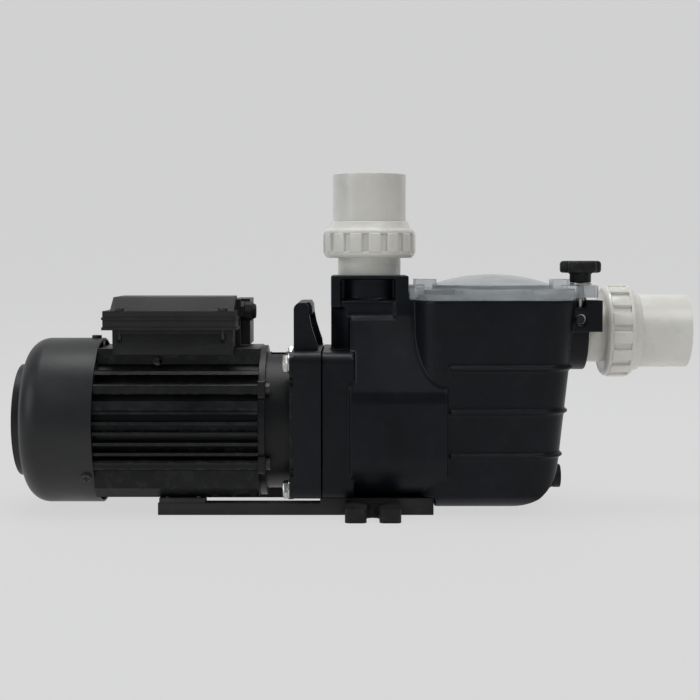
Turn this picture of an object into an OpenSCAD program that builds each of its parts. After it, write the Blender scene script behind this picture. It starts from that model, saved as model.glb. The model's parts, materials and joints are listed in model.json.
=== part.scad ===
// Pool pump with a finned motor, a moulded volute and strainer pot, and two pipe unions.
// Millimetres. The shaft runs along X, motor at -X and suction at +X. Z is up, the feet stand on Z = 0.

/* [Shaft line] */
// Height of the shaft line over the floor
axis_z = 71.6; // [71:0.1:73]
// Radius of the shaft in its bearings
shaft_r = 7.5; // [7:0.1:8]
// Radial running clearance between shaft and bearing bore
shaft_fit = 0.05; // [0.02:0.01:0.1]

/* [Fan cover] */
// Outer radius of the fan cover
cover_r = 68; // [67.5:0.1:69]
// Sheet thickness of the fan cover
cover_t = 1.6; // [1.2:0.1:2]
// Rounding of the cover's rear shoulder
cover_round = 18; // [16:1:22]
// X of the face of the air grille
grille_x = -275; // [-278:0.5:-273]
// X of the cover's rear wall
cover_back_x = -268; // [-269:0.5:-266]
// X of the cover's open rim
cover_rim_x = -207; // [-208:0.5:-205]
// Radius of the raised air grille
grille_r = 46; // [44:0.5:48]
// Air slots in each ring of the grille
grille_slots = 12; // [8:1:14]

/* [Motor frame] */
// X of the frame's drive end
frame_end_x = -76; // [-77:0.5:-75]
// Radius over the fins
fin_r = 65.8; // [64:0.1:66]
// Radius of the solid frame wall
frame_r = 57.5; // [56:0.5:59]
// Bore that holds the stator
frame_bore = 52; // [51:0.5:53]
// Height of the lowest fin
fin_z0 = 43.4; // [42:0.1:44]
// Fin spacing
fin_pitch = 8.3; // [8:0.1:8.6]
// Fins on each flank
fin_count = 6; // [4:1:6]
// Fin thickness
fin_t = 2.4; // [1.6:0.1:3]

/* [Terminal box] */
// Left end of the box
box_x0 = -193; // [-195:0.5:-190]
// Right end of the box
box_x1 = -96.5; // [-98:0.5:-96]
// Height of the joint between box and lid
box_joint_z = 148; // [147:0.5:149]
// Top of the lid
box_top_z = 174; // [173:0.5:176]
// Half depth of the box
box_half_y = 45; // [44:0.5:46]

/* [Pump housing] */
// X of the housing's rear face
flange_x0 = -48; // [-48.5:0.1:-47.5]
// X where the flange meets the volute
flange_x1 = -26; // [-28:0.5:-24]
// Half width of the flange
flange_half = 62.5; // [62:0.5:63]
// Underside of the volute
volute_z0 = 14; // [13.8:0.1:15]
// Top of the flange block
flange_top = 132; // [131:0.5:133]
// Half width of the volute
volute_half = 66.5; // [65:0.5:67]
// X of the volute's front edge
volute_x1 = 74; // [72:0.5:76]
// Wall thickness of the housing
wall = 5; // [4.5:0.1:5.5]
// Centre of the discharge port
tower_x = 13; // [12:0.5:14]
// Half length of the discharge tower
tower_half_x = 31.4; // [31:0.1:32]
// Half depth of the discharge tower
tower_half_y = 33; // [32:0.5:34]
// Face of the discharge port
tower_top = 191.5; // [190:0.5:193]

/* [Strainer pot] */
// Centre of the pot along the pump
pot_x = 114; // [113:0.5:115]
// Half length of the pot at its rim
pot_half_x = 64; // [63:0.5:65]
// Half depth of the pot at its rim
pot_half_y = 65; // [64:0.5:66]
// How far the pot tapers in at its base
pot_taper = 17; // [14:1:19]
// Rim of the pot
pot_top = 172; // [171:0.5:173]
// Underside of the pot
pot_z0 = 6; // [5.5:0.5:7]
// Corner rounding in plan
pot_corner = 22; // [18:1:26]
// Rounding where the front wall meets the underside
pot_heel = 42; // [36:1:46]
// Radius of the opening in the rim
mouth_r = 54; // [53.5:0.5:54.5]
// Centre height of the suction port
suction_z = 145.6; // [145:0.1:146]
// X of the suction port face
suction_x = 190.5; // [190:0.5:192]
// Radius of the suction boss
boss_r = 32; // [31:0.5:33]

/* [Strainer basket] */
// Basket radius under its rim
basket_r_top = 52; // [50:0.5:52.5]
// Basket radius at its floor
basket_r_floor = 42; // [40:0.5:43]
// Height of the basket floor
basket_z0 = 45; // [40:1:55]

/* [Lid] */
// Thickness of the lid's flange
lid_flange_t = 8.5; // [7:0.5:9]
// Radius of the lid's window
window_r = 50; // [49.5:0.5:51]
// Radius of the lid's dome
dome_sphere = 150; // [130:5:180]
// X of the swing bolt
bolt_x = 181; // [180.5:0.5:182]
// Y of the swing bolt
bolt_y = -42; // [-43:0.5:-41]
// Radius of the swing bolt
bolt_r = 3; // [2.9:0.1:3]
// Lobes on the lid knob
knob_lobes = 6; // [5:1:8]

/* [Unions] */
// Radius of the pipe socket, for pipe of 50 mm
socket_r = 25.1; // [25:0.05:25.25]
// Depth of the pipe socket
socket_depth = 31; // [28:1:34]
// Outer radius of the union tail
tail_r = 30; // [29.5:0.1:30.2]
// Outer radius of the union nut
nut_r = 38; // [37.5:0.5:39]
// Raised grips round the union nut
nut_grips = 15; // [12:1:18]
// Height of a whole union over its port face
union_length = 84.5; // [82:0.5:86]
// How much shorter the discharge tail is
discharge_cut = 1.8; // [0:0.1:3]

/* [Base] */
// Left end of the rails
base_x0 = -157; // [-160:0.5:-150]
// Right end of the rails
base_x1 = 64; // [62:0.5:65]
// Outer half width of the rails
rail_half = 50; // [49:0.5:51]
// Rail width
rail_w = 14; // [12:0.5:14]
// Rail height under the motor
rail_h = 9.5; // [9:0.1:10]
// Rail height under the housing
saddle_h = 13.6; // [13:0.1:13.6]
// Half width over the feet
foot_half = 87; // [85:0.5:89]
// Foot thickness
foot_h = 11; // [10:0.5:11]
// Width of the open fixing notch in a foot
notch_w = 10; // [8:0.5:11]

/* [Hidden] */
gap = 0.3;
skin = 0.05;
lid_z = pot_top + gap;
lid_flange_top = lid_z + lid_flange_t;
dome_z = lid_flange_top + 3;
dome_sag = dome_sphere - sqrt(pow(dome_sphere, 2) - pow(window_r, 2));
ear_top = 184;
pot_rear_x = pot_x - pot_half_x;
neck_h = 14;
nut_z0 = neck_h + gap;
nut_z1 = nut_z0 + 29.7;
collar_z0 = neck_h + 17.2;
collar_z1 = collar_z0 + 5;
bolt_off_y = 52;
bolt_off_z = 50.4;
drain_z = 24.5;
drain_x = 162;
tie_angle = 29.5;
tie_r = 61;
shaft_tip_x = -18.5;
bearing_r = 17.5;
bearing_w = 11;
rear_bearing_x = -213;
front_bearing_x = -84;

// Cylinder on the shaft line.
module rod(x0, x1, r)
  translate([x0, 0, axis_z]) rotate([0, 90, 0]) cylinder(h = x1 - x0, r = r);

// Ring on the shaft line.
module ring(x0, x1, r_out, r_in)
  difference() {
    rod(x0, x1, r_out);
    rod(x0 - 1, x1 + 1, r_in);
  }

// Bar along X at a given y and z.
module bar(x0, x1, y, z, r)
  translate([x0, y, z]) rotate([0, 90, 0]) cylinder(h = x1 - x0, r = r);

// Hexagonal bar along X, measured across its corners.
module hex_bar(x0, x1, y, z, r)
  translate([x0, y, z]) rotate([0, 90, 0]) cylinder(h = x1 - x0, r = r, $fn = 6);

// Box between two corners.
module block(a, b)
  translate(a) cube([b[0] - a[0], b[1] - a[1], b[2] - a[2]]);

// Flat outline drawn in y and z, then drawn out along X.
module along_x(x0, x1)
  translate([x0, 0, 0]) rotate([90, 0, 90]) linear_extrude(x1 - x0) children();

// Flat outline drawn in x and z, then drawn out along Y.
module along_y(y0, y1)
  translate([0, y1, 0]) rotate([90, 0, 0]) linear_extrude(y1 - y0) children();

// Rectangle between two corners with round corners of radius r.
module soft_rect(a, b, r) {
  translate([a[0] + r, a[1]]) square([b[0] - a[0] - 2 * r, b[1] - a[1]]);
  translate([a[0], a[1] + r]) square([b[0] - a[0], b[1] - a[1] - 2 * r]);
  for (x = [a[0] + r, b[0] - r], y = [a[1] + r, b[1] - r])
    translate([x, y]) circle(r);
}

// O-ring lying flat, by mean radius and section radius.
module oring(mean_r, section_r)
  rotate_extrude() translate([mean_r, 0]) circle(section_r);

// The four corners of the housing joint.
module at_corners()
  for (y = [-bolt_off_y, bolt_off_y], z = [-bolt_off_z, bolt_off_z])
    translate([0, y, axis_z + z]) children();

// ---- Motor ----

module cover_profile(r, h, c) {
  square([r, h - c]);
  square([r - c, h]);
  translate([r - c, h - c]) circle(c);
}

module fan_cover() color([0.16, 0.16, 0.17]) {
  depth = cover_rim_x - cover_back_x;
  difference() {
    union() {
      translate([cover_rim_x, 0, axis_z]) rotate([0, -90, 0]) rotate_extrude()
        difference() {
          intersection() {
            cover_profile(cover_r, depth, cover_round);
            square([cover_r, depth]);
          }
          translate([0, -cover_t])
            intersection() {
              cover_profile(cover_r - cover_t, depth, cover_round - cover_t);
              square([cover_r, depth]);
            }
        }
      ring(grille_x, cover_back_x + 0.2, grille_r, grille_r - cover_t);
      rod(grille_x, grille_x + cover_t, grille_r);
    }
    rod(cover_back_x - 1, cover_back_x + 4, grille_r - 3);
    for (i = [0 : grille_slots - 1], r = [14, 24, 34])
      translate([grille_x - 1, 0, axis_z])
        rotate([i * 360 / grille_slots + (r == 24 ? 180 / grille_slots : 0), 0, 0])
          translate([0, r, -r / 9.5])
            cube([cover_t + 2, 6.5, r / 4.75]);
    cover_screw_holes(2.2);
  }
}

// Three radial screw holes near the cover's rim.
module cover_screw_holes(r)
  for (a = [90, 216, 324])
    translate([-213, 0, axis_z]) rotate([a, 0, 0])
      translate([0, 61, 0]) rotate([-90, 0, 0]) cylinder(h = 12, r = r);

module fan_cover_screws() color([0.1, 0.1, 0.1])
  for (a = [90, 216, 324])
    translate([-213, 0, axis_z]) rotate([a, 0, 0]) {
      translate([0, cover_r + skin, 0]) rotate([-90, 0, 0]) difference() {
        cylinder(h = 2.2, r = 4);
        translate([-3, -0.5, 1.2]) cube([6, 1, 2]);
        translate([-0.5, -3, 1.2]) cube([1, 6, 2]);
      }
      translate([0, 60.5, 0]) rotate([-90, 0, 0]) cylinder(h = cover_r - 60.3, r = 2.1);
    }

module cooling_fan() color([0.09, 0.09, 0.1])
  difference() {
    union() {
      rod(-250, -222, 12);
      rod(-228, -225, 40);
      for (i = [0 : 7])
        translate([-250, 0, axis_z]) rotate([i * 45, 0, 0])
          translate([0, 10, -1.2]) cube([24, 43, 2.4]);
    }
    rod(-260, -200, shaft_r + 0.02);
  }

module rear_end_shield() color([0.2, 0.2, 0.21])
  difference() {
    union() {
      rod(-214, -207, 60);
      rod(-214, -199, 23);
      for (a = [90, 216, 324])
        translate([-213, 0, axis_z]) rotate([a, 0, 0])
          translate([-4, 52, -5]) cube([10, 13.6, 10]);
    }
    rod(rear_bearing_x, -190, bearing_r + skin);
    rod(-220, -190, 9);
    for (a = [90, 216, 324])
      translate([-213, 0, axis_z]) rotate([a, 0, 0])
        translate([0, 55, 0]) rotate([-90, 0, 0]) cylinder(h = 12, r = 2.2);
    tie_holes(-220, -200, 2.6);
    tie_holes(-220, -214, 5.2);
  }

// Bearing: both races, with the ball track left open between them.
module bearing(x0)
  difference() {
    ring(x0, x0 + bearing_w, bearing_r, shaft_r + shaft_fit);
    ring(x0 - 1, x0 + 1.2, 14.6, 11);
    ring(x0 + bearing_w - 1.2, x0 + bearing_w + 1, 14.6, 11);
  }

module rear_bearing() color([0.7, 0.7, 0.72]) bearing(rear_bearing_x + skin);

module wave_washer() color([0.6, 0.6, 0.62])
  ring(rear_bearing_x + bearing_w + 0.3, rear_bearing_x + bearing_w + 1.1, 17, 13.5);

// Tie bolts run in the two upper and two lower rails of the frame.
module at_ties()
  for (s = [-1, 1], a = [tie_angle, -tie_angle])
    translate([0, s * tie_r * cos(a), axis_z + tie_r * sin(a)]) children();

module tie_holes(x0, x1, r)
  at_ties() translate([x0, 0, 0]) rotate([0, 90, 0]) cylinder(h = x1 - x0, r = r);

module fin_rows()
  for (i = [0 : fin_count - 1])
    block([cover_rim_x, -70, fin_z0 + i * fin_pitch - fin_t],
      [frame_end_x, 70, fin_z0 + i * fin_pitch]);

module motor_frame() color([0.13, 0.13, 0.14])
  difference() {
    union() {
      rod(cover_rim_x, frame_end_x, frame_r);
      intersection() {
        rod(cover_rim_x, frame_end_x, fin_r);
        union() {
          fin_rows();
          block([cover_rim_x, -70, 85.6], [frame_end_x, 70, 92.6]);
          block([cover_rim_x, -70, 113], [frame_end_x, 70, 115.6]);
          for (y = [-27, 27])
            block([cover_rim_x, y - 1.3, 60], [frame_end_x, y + 1.3, 140]);
        }
      }
      along_x(cover_rim_x, frame_end_x)
        for (s = [-1, 1])
          polygon([[s * 30, 13.6], [s * 44, 13.6], [s * 53, 22], [s * 53, 36.6], [s * 30, 36.6]]);
      along_x(cover_rim_x, frame_end_x) for (s = [-1, 1], v = [-1, 1])
        translate([s * tie_r * cos(tie_angle), axis_z + v * tie_r * sin(tie_angle)])
          soft_rect([-5.5, -4], [5.5, 4], 1.5);
      block([cover_rim_x, -34, 120], [frame_end_x, 34, 132.6]);
    }
    rod(cover_rim_x - 1, frame_end_x + 1, frame_bore);
    tie_holes(cover_rim_x - 1, frame_end_x + 1, 2.6);
    translate([-145, -12, 100]) cube([20, 24, 40]);
    translate([-158, -70, 122.5]) rotate([-90, 0, 0]) translate([0, 0, 35]) cylinder(h = 8, r = 2.1);
    for (x = [-150, -125], s = [-1, 1])
      translate([x, s * 42, 12]) cylinder(h = 14, r = 2.5);
  }

module stator_core() color([0.45, 0.45, 0.48])
  difference() {
    ring(-180, -108, frame_bore - skin, 30.6);
    for (i = [0 : 23])
      translate([-181, 0, axis_z]) rotate([i * 15, 0, 0])
        translate([0, 33, -1.8]) cube([80, 9, 3.6]);
  }

module stator_windings() color([0.62, 0.34, 0.16])
  for (x = [[-196, -180.3], [-107.7, -93]])
    difference() {
      ring(x[0], x[1], 46, 33);
      ring(x[0] - 1, x[0] + 2, 60, 44);
      ring(x[1] - 2, x[1] + 1, 60, 44);
    }

module rotor_core() color([0.5, 0.5, 0.53])
  union() {
    ring(-180, -108, 30, 9.5 + 0.02);
    ring(-184, -180, 28, 18);
    ring(-108, -104, 28, 18);
  }

module motor_shaft() color([0.72, 0.72, 0.74])
  union() {
    rod(-256, -196, shaft_r);
    rod(-196, -88, 9.5);
    rod(-88, -50, shaft_r);
    rod(-50, shaft_tip_x, 6);
  }

module front_bearing() color([0.7, 0.7, 0.72]) bearing(front_bearing_x);

module slinger_ring() color([0.06, 0.06, 0.06])
  union() {
    ring(-68, -62, 11, shaft_r + 0.02);
    ring(-66, -64.5, 17, shaft_r + 0.02);
  }

module front_end_shield() color([0.17, 0.17, 0.18])
  difference() {
    union() {
      rod(frame_end_x, -71, 62);
      rod(-71, -51, 56.5);
      along_x(-51, flange_x0)
        difference() {
          soft_rect([-60, axis_z - 58], [60, axis_z + 58], 6);
          for (s = [-1, 1], v = [-1, 1])
            translate([s * 60, axis_z + v * 36]) circle(3.5);
        }
      rod(-87, -74, 23);
      along_x(frame_end_x, -70.5) for (s = [-1, 1], v = [-1, 1])
        translate([s * tie_r * cos(tie_angle), axis_z + v * tie_r * sin(tie_angle)])
          soft_rect([-7, -7], [7, 7], 2);
    }
    rod(-73, -53.5, 50);
    rod(-100, front_bearing_x + bearing_w, bearing_r + skin);
    rod(-100, -40, 13);
    tie_holes(-90, -60, 2.6);
    at_corners() translate([-60, 0, 0]) rotate([0, 90, 0]) cylinder(h = 20, r = 4.2);
    for (a = [0, 180])
      translate([-62, 0, axis_z]) rotate([a, 0, 0]) translate([-6, -12, -60]) cube([12, 24, 20]);
  }

module tie_bolts() color([0.66, 0.66, 0.68])
  at_ties() {
    translate([-219, 0, 0]) rotate([0, 90, 0]) cylinder(h = 148.6, r = 2.5);
    translate([-70.4, 0, 0]) rotate([0, 90, 0]) cylinder(h = 4, r = 4.8, $fn = 6);
  }

module tie_bolt_nuts() color([0.66, 0.66, 0.68])
  at_ties() translate([-218.2, 0, 0]) rotate([0, 90, 0]) difference() {
    cylinder(h = 4, r = 4.6, $fn = 6);
    translate([0, 0, -1]) cylinder(h = 6, r = 2.55);
  }

module earth_screw() color([0.75, 0.75, 0.74])
  translate([-158, -34 - skin, 122.5]) rotate([90, 0, 0]) {
    difference() {
      cylinder(h = 2.4, r = 3.6);
      translate([-3, -0.5, 1.4]) cube([6, 1, 2]);
    }
    translate([0, 0, -7]) cylinder(h = 8, r = 2);
  }

// ---- Terminal box ----

module box_gasket() color([0.05, 0.05, 0.05])
  difference() {
    block([box_x0 + 4, -33, 132.7], [box_x1 - 3, 33, 133.7]);
    block([box_x0 + 12, -26, 130], [box_x1 - 11, 26, 140]);
  }

module box_base() color([0.12, 0.12, 0.13])
  difference() {
    union() {
      along_x(box_x0, box_x1)
        polygon([[-34, 133.8], [34, 133.8], [box_half_y, 138], [box_half_y, box_joint_z],
          [-box_half_y, box_joint_z], [-box_half_y, 138], [-box_half_y + 1, 128.5], [-34.6, 128.5]]);
      block([box_x0 + 2, -box_half_y - 2, box_joint_z - 3], [box_x1 - 1, box_half_y + 2, box_joint_z]);
      block([box_x1 - 1.5, -14.5, 134], [-93, 47, 172]);
      block([box_x1 - 1.5, 2, 134], [-86, 47, 172]);
    }
    block([box_x0 + 4, -box_half_y + 4, 137], [box_x1 - 4, box_half_y - 4, 150]);
    block([-160, -10, 130], [-140, 10, 140]);
    translate([-105, -6, 162]) rotate([0, 90, 0]) cylinder(h = 30, r = 6.1);
    block([-92, 5, 138], [-88, 44, 169]);
    at_lid_screws() translate([0, 0, 138]) cylinder(h = 20, r = 1.8);
  }

// The four screws of the box lid.
module at_lid_screws()
  for (x = [box_x0 + 6, box_x1 - 8], y = [-box_half_y - 0.5, box_half_y + 0.5])
    translate([x, y, 0]) children();

module lid_outline() {
  polygon([[-46, 162], [-25, box_top_z], [30, box_top_z], [46, 166], [46, 150], [-46, 150]]);
}

module box_lid() color([0.13, 0.13, 0.14])
  difference() {
    union() {
      along_x(box_x0 - 2, box_x1 + 0.5) lid_outline();
      block([box_x0 - 7, -50, box_joint_z + gap], [box_x1 + 2.5, 50, 163.5]);
      block([box_x0 - 7.8, -51, 156.5], [box_x1 + 3.3, 51, 158.5]);
      block([box_x0 - 7.8, -51, box_joint_z + gap], [box_x1 + 3.3, 51, box_joint_z + 2.6]);
    }
    difference() {
      translate([0, 0, -2.6]) along_x(box_x0 + 1, box_x1 - 5) scale(0.995) lid_outline();
      block([box_x0 - 10, -60, 176], [0, 60, 200]);
    }
    block([box_x0 + 1, -44, 140], [box_x1 - 5, 44, 160]);
    block([box_x1 - 2.5, -15, 140], [-80, 60, 180]);
    at_lid_screws() {
      translate([0, 0, 140]) cylinder(h = 40, r = 2.2);
      translate([0, 0, 163.5]) cylinder(h = 20, r = 4.2);
    }
  }

module box_screws() color([0.7, 0.7, 0.71])
  at_lid_screws() {
    translate([0, 0, 163.6]) difference() {
      cylinder(h = 2.2, r = 3.6);
      translate([-3, -0.5, 1.2]) cube([6, 1, 2]);
      translate([-0.5, -3, 1.2]) cube([1, 6, 2]);
    }
    translate([0, 0, 141]) cylinder(h = 23, r = 1.45);
  }

module terminal_block() color([0.85, 0.83, 0.76])
  difference() {
    block([-186, -36, 137.1], [-130, -18, 150]);
    for (i = [0 : 4]) {
      translate([-180 + i * 11, -27, 143]) cylinder(h = 10, r = 2.6);
      translate([-180 + i * 11, -40, 142]) rotate([-90, 0, 0]) cylinder(h = 30, r = 1.8);
    }
  }

module run_capacitor() color([0.8, 0.8, 0.8]) {
  bar(-186, -112, 14, 153.6, 16.2);
  bar(-112, -105, 9, 153.6, 2);
  bar(-112, -105, 19, 153.6, 2);
}

module gland_body() color([0.08, 0.08, 0.08])
  translate([0, -6, 162]) rotate([0, 90, 0]) difference() {
    union() {
      translate([0, 0, -98.4]) cylinder(h = 6, r = 6);
      translate([0, 0, -92.9]) cylinder(h = 3, r = 8.2, $fn = 6);
      translate([0, 0, -92.9]) cylinder(h = 7.4, r = 5.9);
    }
    translate([0, 0, -104]) cylinder(h = 20, r = 4.6);
  }

module gland_seal() color([0.05, 0.05, 0.05])
  translate([0, -6, 162]) rotate([0, 90, 0]) difference() {
    union() {
      translate([0, 0, -85.2]) cylinder(h = 2.6, r = 6);
      translate([0, 0, -91]) cylinder(h = 7, r = 4.25);
    }
    translate([0, 0, -100]) cylinder(h = 30, r = 3.6);
  }

module gland_nut() color([0.08, 0.08, 0.08])
  translate([0, -6, 162]) rotate([0, 90, 0]) difference() {
    union() {
      translate([0, 0, -89.6]) cylinder(h = 6, r = 7.9, $fn = 8);
      translate([0, 0, -84]) cylinder(h = 3.6, r1 = 7.2, r2 = 5.4);
    }
    translate([0, 0, -90]) cylinder(h = 7.8, r = 6.3);
    translate([0, 0, -90]) cylinder(h = 14, r = 4);
  }

// ---- Wet end ----

// Front outline of the volute: a round-bottomed drum that leans in to the discharge tower.
module volute_outline(o) {
  b = 35 - o;
  polygon([
    [-volute_half + o, 49], [-volute_half + o, 92], [-64.5 + o, 100], [-60.5 + o, 107.5 - o / 3],
    [-tower_half_y - 1 + o, 160 - o / 2], [-tower_half_y + o, pot_top - 3 - o],
    [tower_half_y - o, pot_top - 3 - o], [tower_half_y + 1 - o, 160 - o / 2],
    [60.5 - o, 107.5 - o / 3], [64.5 - o, 100], [volute_half - o, 92], [volute_half - o, 49],
    [volute_half - 35, volute_z0 + o], [-volute_half + 35, volute_z0 + o]
  ]);
  for (s = [-1, 1]) translate([s * (volute_half - 35), volute_z0 + 35]) circle(b);
}

// Tapered pot with round corners, drawn in by o.
module pot_form(o)
  intersection() {
    hull() {
      for (s = [-1, 1]) {
        translate([pot_x + pot_half_x - pot_corner, s * (pot_half_y - pot_corner), pot_top - 0.5])
          cylinder(h = 0.5, r = pot_corner - o, $fn = 40);
        translate([pot_x + pot_half_x - pot_taper - pot_corner, s * (pot_half_y - 5 - pot_corner), pot_z0])
          cylinder(h = 0.5, r = pot_corner - o, $fn = 40);
        translate([pot_x - pot_half_x + pot_corner, s * (pot_half_y - pot_corner), pot_top - 0.5])
          cylinder(h = 0.5, r = pot_corner - o, $fn = 40);
        translate([pot_x - pot_half_x + 2 + pot_corner, s * (pot_half_y - 5 - pot_corner), pot_z0])
          cylinder(h = 0.5, r = pot_corner - o, $fn = 40);
      }
    }
    along_y(-80, 80) {
      x1 = pot_x + pot_half_x - pot_taper + 4;
      translate([x1 - pot_heel, pot_z0 + pot_heel]) circle(pot_heel - o);
      polygon([[base_x1 + 1 + o, pot_z0 + o], [x1 - pot_heel, pot_z0 + o], [x1 - pot_heel,
        pot_z0 + pot_heel],
        [x1 - o, pot_z0 + pot_heel], [pot_x + 80, 90], [pot_x + 80, 200], [30, 200],
        [30, volute_z0 + 1 + o], [base_x1 + 1 + o, volute_z0 + 1 + o]]);
    }
    along_x(0, 220) {
      for (s = [-1, 1]) translate([s * 41, pot_z0 + 24]) circle(24 - o);
      translate([-41, pot_z0 + o]) square([82, 200]);
      translate([-75, pot_z0 + 24]) square([150, 200]);
    }
  }

module ribs()
  intersection() {
    pot_form(-2.6);
    for (z = [48.6, 83.8, 118.4])
      block([volute_x1 + 2, -80, z - 1.3], [200, 80, z + 1.3]);
  }

// Discharge tower with chamfered corners on the motor side.
module tower()
  difference() {
    block([tower_x - tower_half_x, -tower_half_y, 130], [tower_x + tower_half_x, tower_half_y, tower_top]);
    for (s = [-1, 1]) {
      along_z(100, 166) polygon([[-20, s * 22], [-20, s * 40], [-2, s * 40], [-2, s * 33.5]]);
    }
  }

// Cut on each side of the tower: a deep pocket round the port tube and a shallow band under it, with
// sloping ledges at the foot of both.
module tower_pockets()
  for (s = [-1, 1]) {
    along_x(tower_x - 23.6, tower_x + 20.4)
      polygon([[s * 36, 155.6], [s * 34.4, 157.2], [s * 31.4, 160.2], [s * 31.4, 171], [s * 36, 171]]);
    difference() {
      along_x(tower_x - 23.6, tower_x + 20.4)
        polygon([[s * 36, 170], [s * 31.4, 170], [s * 29.2, 172.2], [s * 21, 172.2], [s * 21,
          188.9], [s * 36, 188.9]]);
      translate([tower_x, 0, 160]) cylinder(h = 40, r = 29);
    }
  }

module along_z(z0, z1) translate([0, 0, z0]) linear_extrude(z1 - z0) children();

module flange_outline(half, z0, z1, r) soft_rect([-half, z0], [half, z1], r);

// Side outline of a handle leg, moved along by shift.
module leg_outline(shift) {
  translate([-42.5, 164.5]) circle(5.5);
  polygon([[-48, 130], [-48, 164.5], [-42.5, 170], [-38 + shift, 170], [-36.2 + shift, 167],
    [-35.6 + shift, 160], [-34 + shift, 152], [-31.6 + shift, 144], [-29.2 + shift, 137],
      [-28.4 + shift, 130]]);
}

module carry_handle()
  difference() {
    union() {
      along_y(-46, -30) leg_outline(0);
      along_y(-32, 46) leg_outline(2.4);
    }
    along_x(-60, 0) {
      soft_rect([-36, 135], [36, 161], 8);
      translate([-36, 120]) square([72, 23]);
    }
    block([-60, -60, 100], [0, 60, 131]);
  }

// Bolt circle of the housing joint, drilled through the flange and into the volute.
module bolt_holes()
  at_corners() translate([flange_x0 - 1, 0, 0]) rotate([0, 90, 0]) cylinder(h = 39, r = 4.05);

// Motor side of the housing, with the handle in one with it.
module mounting_flange() color([0.09, 0.09, 0.1])
  difference() {
    union() {
      along_x(flange_x0, flange_x1) flange_outline(flange_half, volute_z0, flange_top, 9);
      carry_handle();
    }
    rod(flange_x0 - 1, -40.5, 52);
    rod(-41, flange_x1 + 1, 48);
    bolt_holes();
  }

// Housing behind the flange: impeller chamber, hollow shoulders and discharge tower.
module volute() color([0.09, 0.09, 0.1])
  difference() {
    union() {
      along_x(flange_x1 + skin, 0) flange_outline(volute_half - 5.5, volute_z0, flange_top - 1, 9);
      along_x(-3, volute_x1) volute_outline(0);
      tower();
      along_x(tower_x + tower_half_x - 1, pot_rear_x)
        translate([-tower_half_y, 140]) square([2 * tower_half_y, pot_top - 140]);
    }
    rod(flange_x1 - 1, -2, 48);
    along_x(-30, 44) intersection() {
      volute_outline(wall);
      translate([-60, 15]) square([120, 112]);
    }
    translate([tower_x, 0, 120]) cylinder(h = 80, r = 25);
    tower_pockets();
    bolt_holes();
    rod(40, 70, 20.4);
    pot_form(-skin);
    // Notch for the lid's tongue
    block([41.5, -12.4, 182.6], [50, 12.4, tower_top + 1]);
    for (x = [-12, 48], y = [-22, 22]) translate([x, y, 10]) cylinder(h = 14, r = 2.6);
  }

// Pot with its ribs, suction boss, drain boss and the lug of the swing bolt.
module strainer_pot() color([0.09, 0.09, 0.1])
  difference() {
    union() {
      pot_form(0);
      ribs();
      difference() {
        bar(160, suction_x, 0, suction_z, boss_r);
        block([150, -40, pot_top - skin], [suction_x - 11.3, 40, 200]);
      }
      block([172, -50, 147], [198, -27, pot_top]);
      bar(150, drain_x, 0, drain_z, 12);
    }
    intersection() {
      pot_form(wall);
      block([0, -80, 0], [220, 80, 161]);
    }
    translate([pot_x, 0, 150]) cylinder(h = 40, r = mouth_r);
    translate([pot_x, 0, 167]) cylinder(h = 20, r = mouth_r + 2.5);
    translate([pot_x, 0, 168]) difference() {
      cylinder(h = 10, r = 62.4);
      translate([0, 0, -1]) cylinder(h = 12, r = 58.6);
    }
    bar(150, suction_x + 1, 0, suction_z, 20.5);
    bar(suction_x - 11.2, suction_x + 1, 0, suction_z, 25);
    rod(40, 70, 20.4);
    // Pocket for the eye of the swing bolt, and its pin hole
    block([bolt_x - 7.6, -47, 149.6], [bolt_x + 7.6, -38.2, 180]);
    block([bolt_x - 3.8, -51, 166.5], [bolt_x + 3.8, -46, 180]);
    translate([bolt_x, -60, 157]) rotate([-90, 0, 0]) cylinder(h = 40, r = 3.02);
    translate([bolt_x, -60, 157]) rotate([-90, 0, 0]) cylinder(h = 14, r = 3.8);
    translate([bolt_x, -50.1, 157]) rotate([-90, 0, 0]) cylinder(h = 1.6, r1 = 5.6, r2 = 3.8);
    // Drain hole
    bar(140, drain_x + 1, 0, drain_z, 7.2);
  }

module seal_plate() color([0.1, 0.1, 0.11])
  difference() {
    union() {
      rod(flange_x0 + 0.1, -40.6, 51.6);
      rod(-41, -37.5, 22);
    }
    ring(-45.6, -42.2, 60, 48.6);
    rod(-50, -37, 8.6);
    rod(-46.5, -30, 14.05);
  }

module body_oring() color([0.04, 0.04, 0.04])
  translate([-43.9, 0, axis_z]) rotate([0, 90, 0]) oring(50.3, 1.55);

module seal_seat() color([0.85, 0.84, 0.8]) ring(-46.4, -40.3, 14, 8.6);

module seal_head() color([0.55, 0.56, 0.58])
  union() {
    ring(-40, -37.2, 11, 6.3);
    ring(-37.2, -33, 12.5, 6.02);
    ring(-33, -29.6, 11, 6.02);
  }

module impeller() color([0.2, 0.2, 0.22])
  difference() {
    union() {
      rod(-29, -26, 38);
      rod(-29.3, -14, 11);
      ring(-17.5, -15, 38, 15);
      ring(-15.1, -9.5, 17, 14.5);
      for (i = [0 : 5])
        translate([-26.2, 0, axis_z]) rotate([i * 60, 0, 0])
          translate([0, 9, 4]) rotate([28, 0, 0]) cube([9, 28, 2.2]);
    }
    rod(-40, -18, 6.02);
    ring(-40, 0, 60, 38);
  }

module diffuser() color([0.24, 0.24, 0.26])
  difference() {
    union() {
      rod(-11.5, -7.5, 47.6);
      rod(-8, 52, 20);
      for (i = [0 : 7])
        translate([-31, 0, axis_z]) rotate([i * 45, 0, 0])
          translate([0, 40, -1.2]) rotate([-25, 0, 0]) cube([20, 7, 2.4]);
    }
    rod(-12, -8.5, 17.5);
    rod(-12, 60, 15.5);
    ring(47, 50.4, 30, 17.7);
    ring(-40, 10, 70, 47.6);
  }

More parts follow.
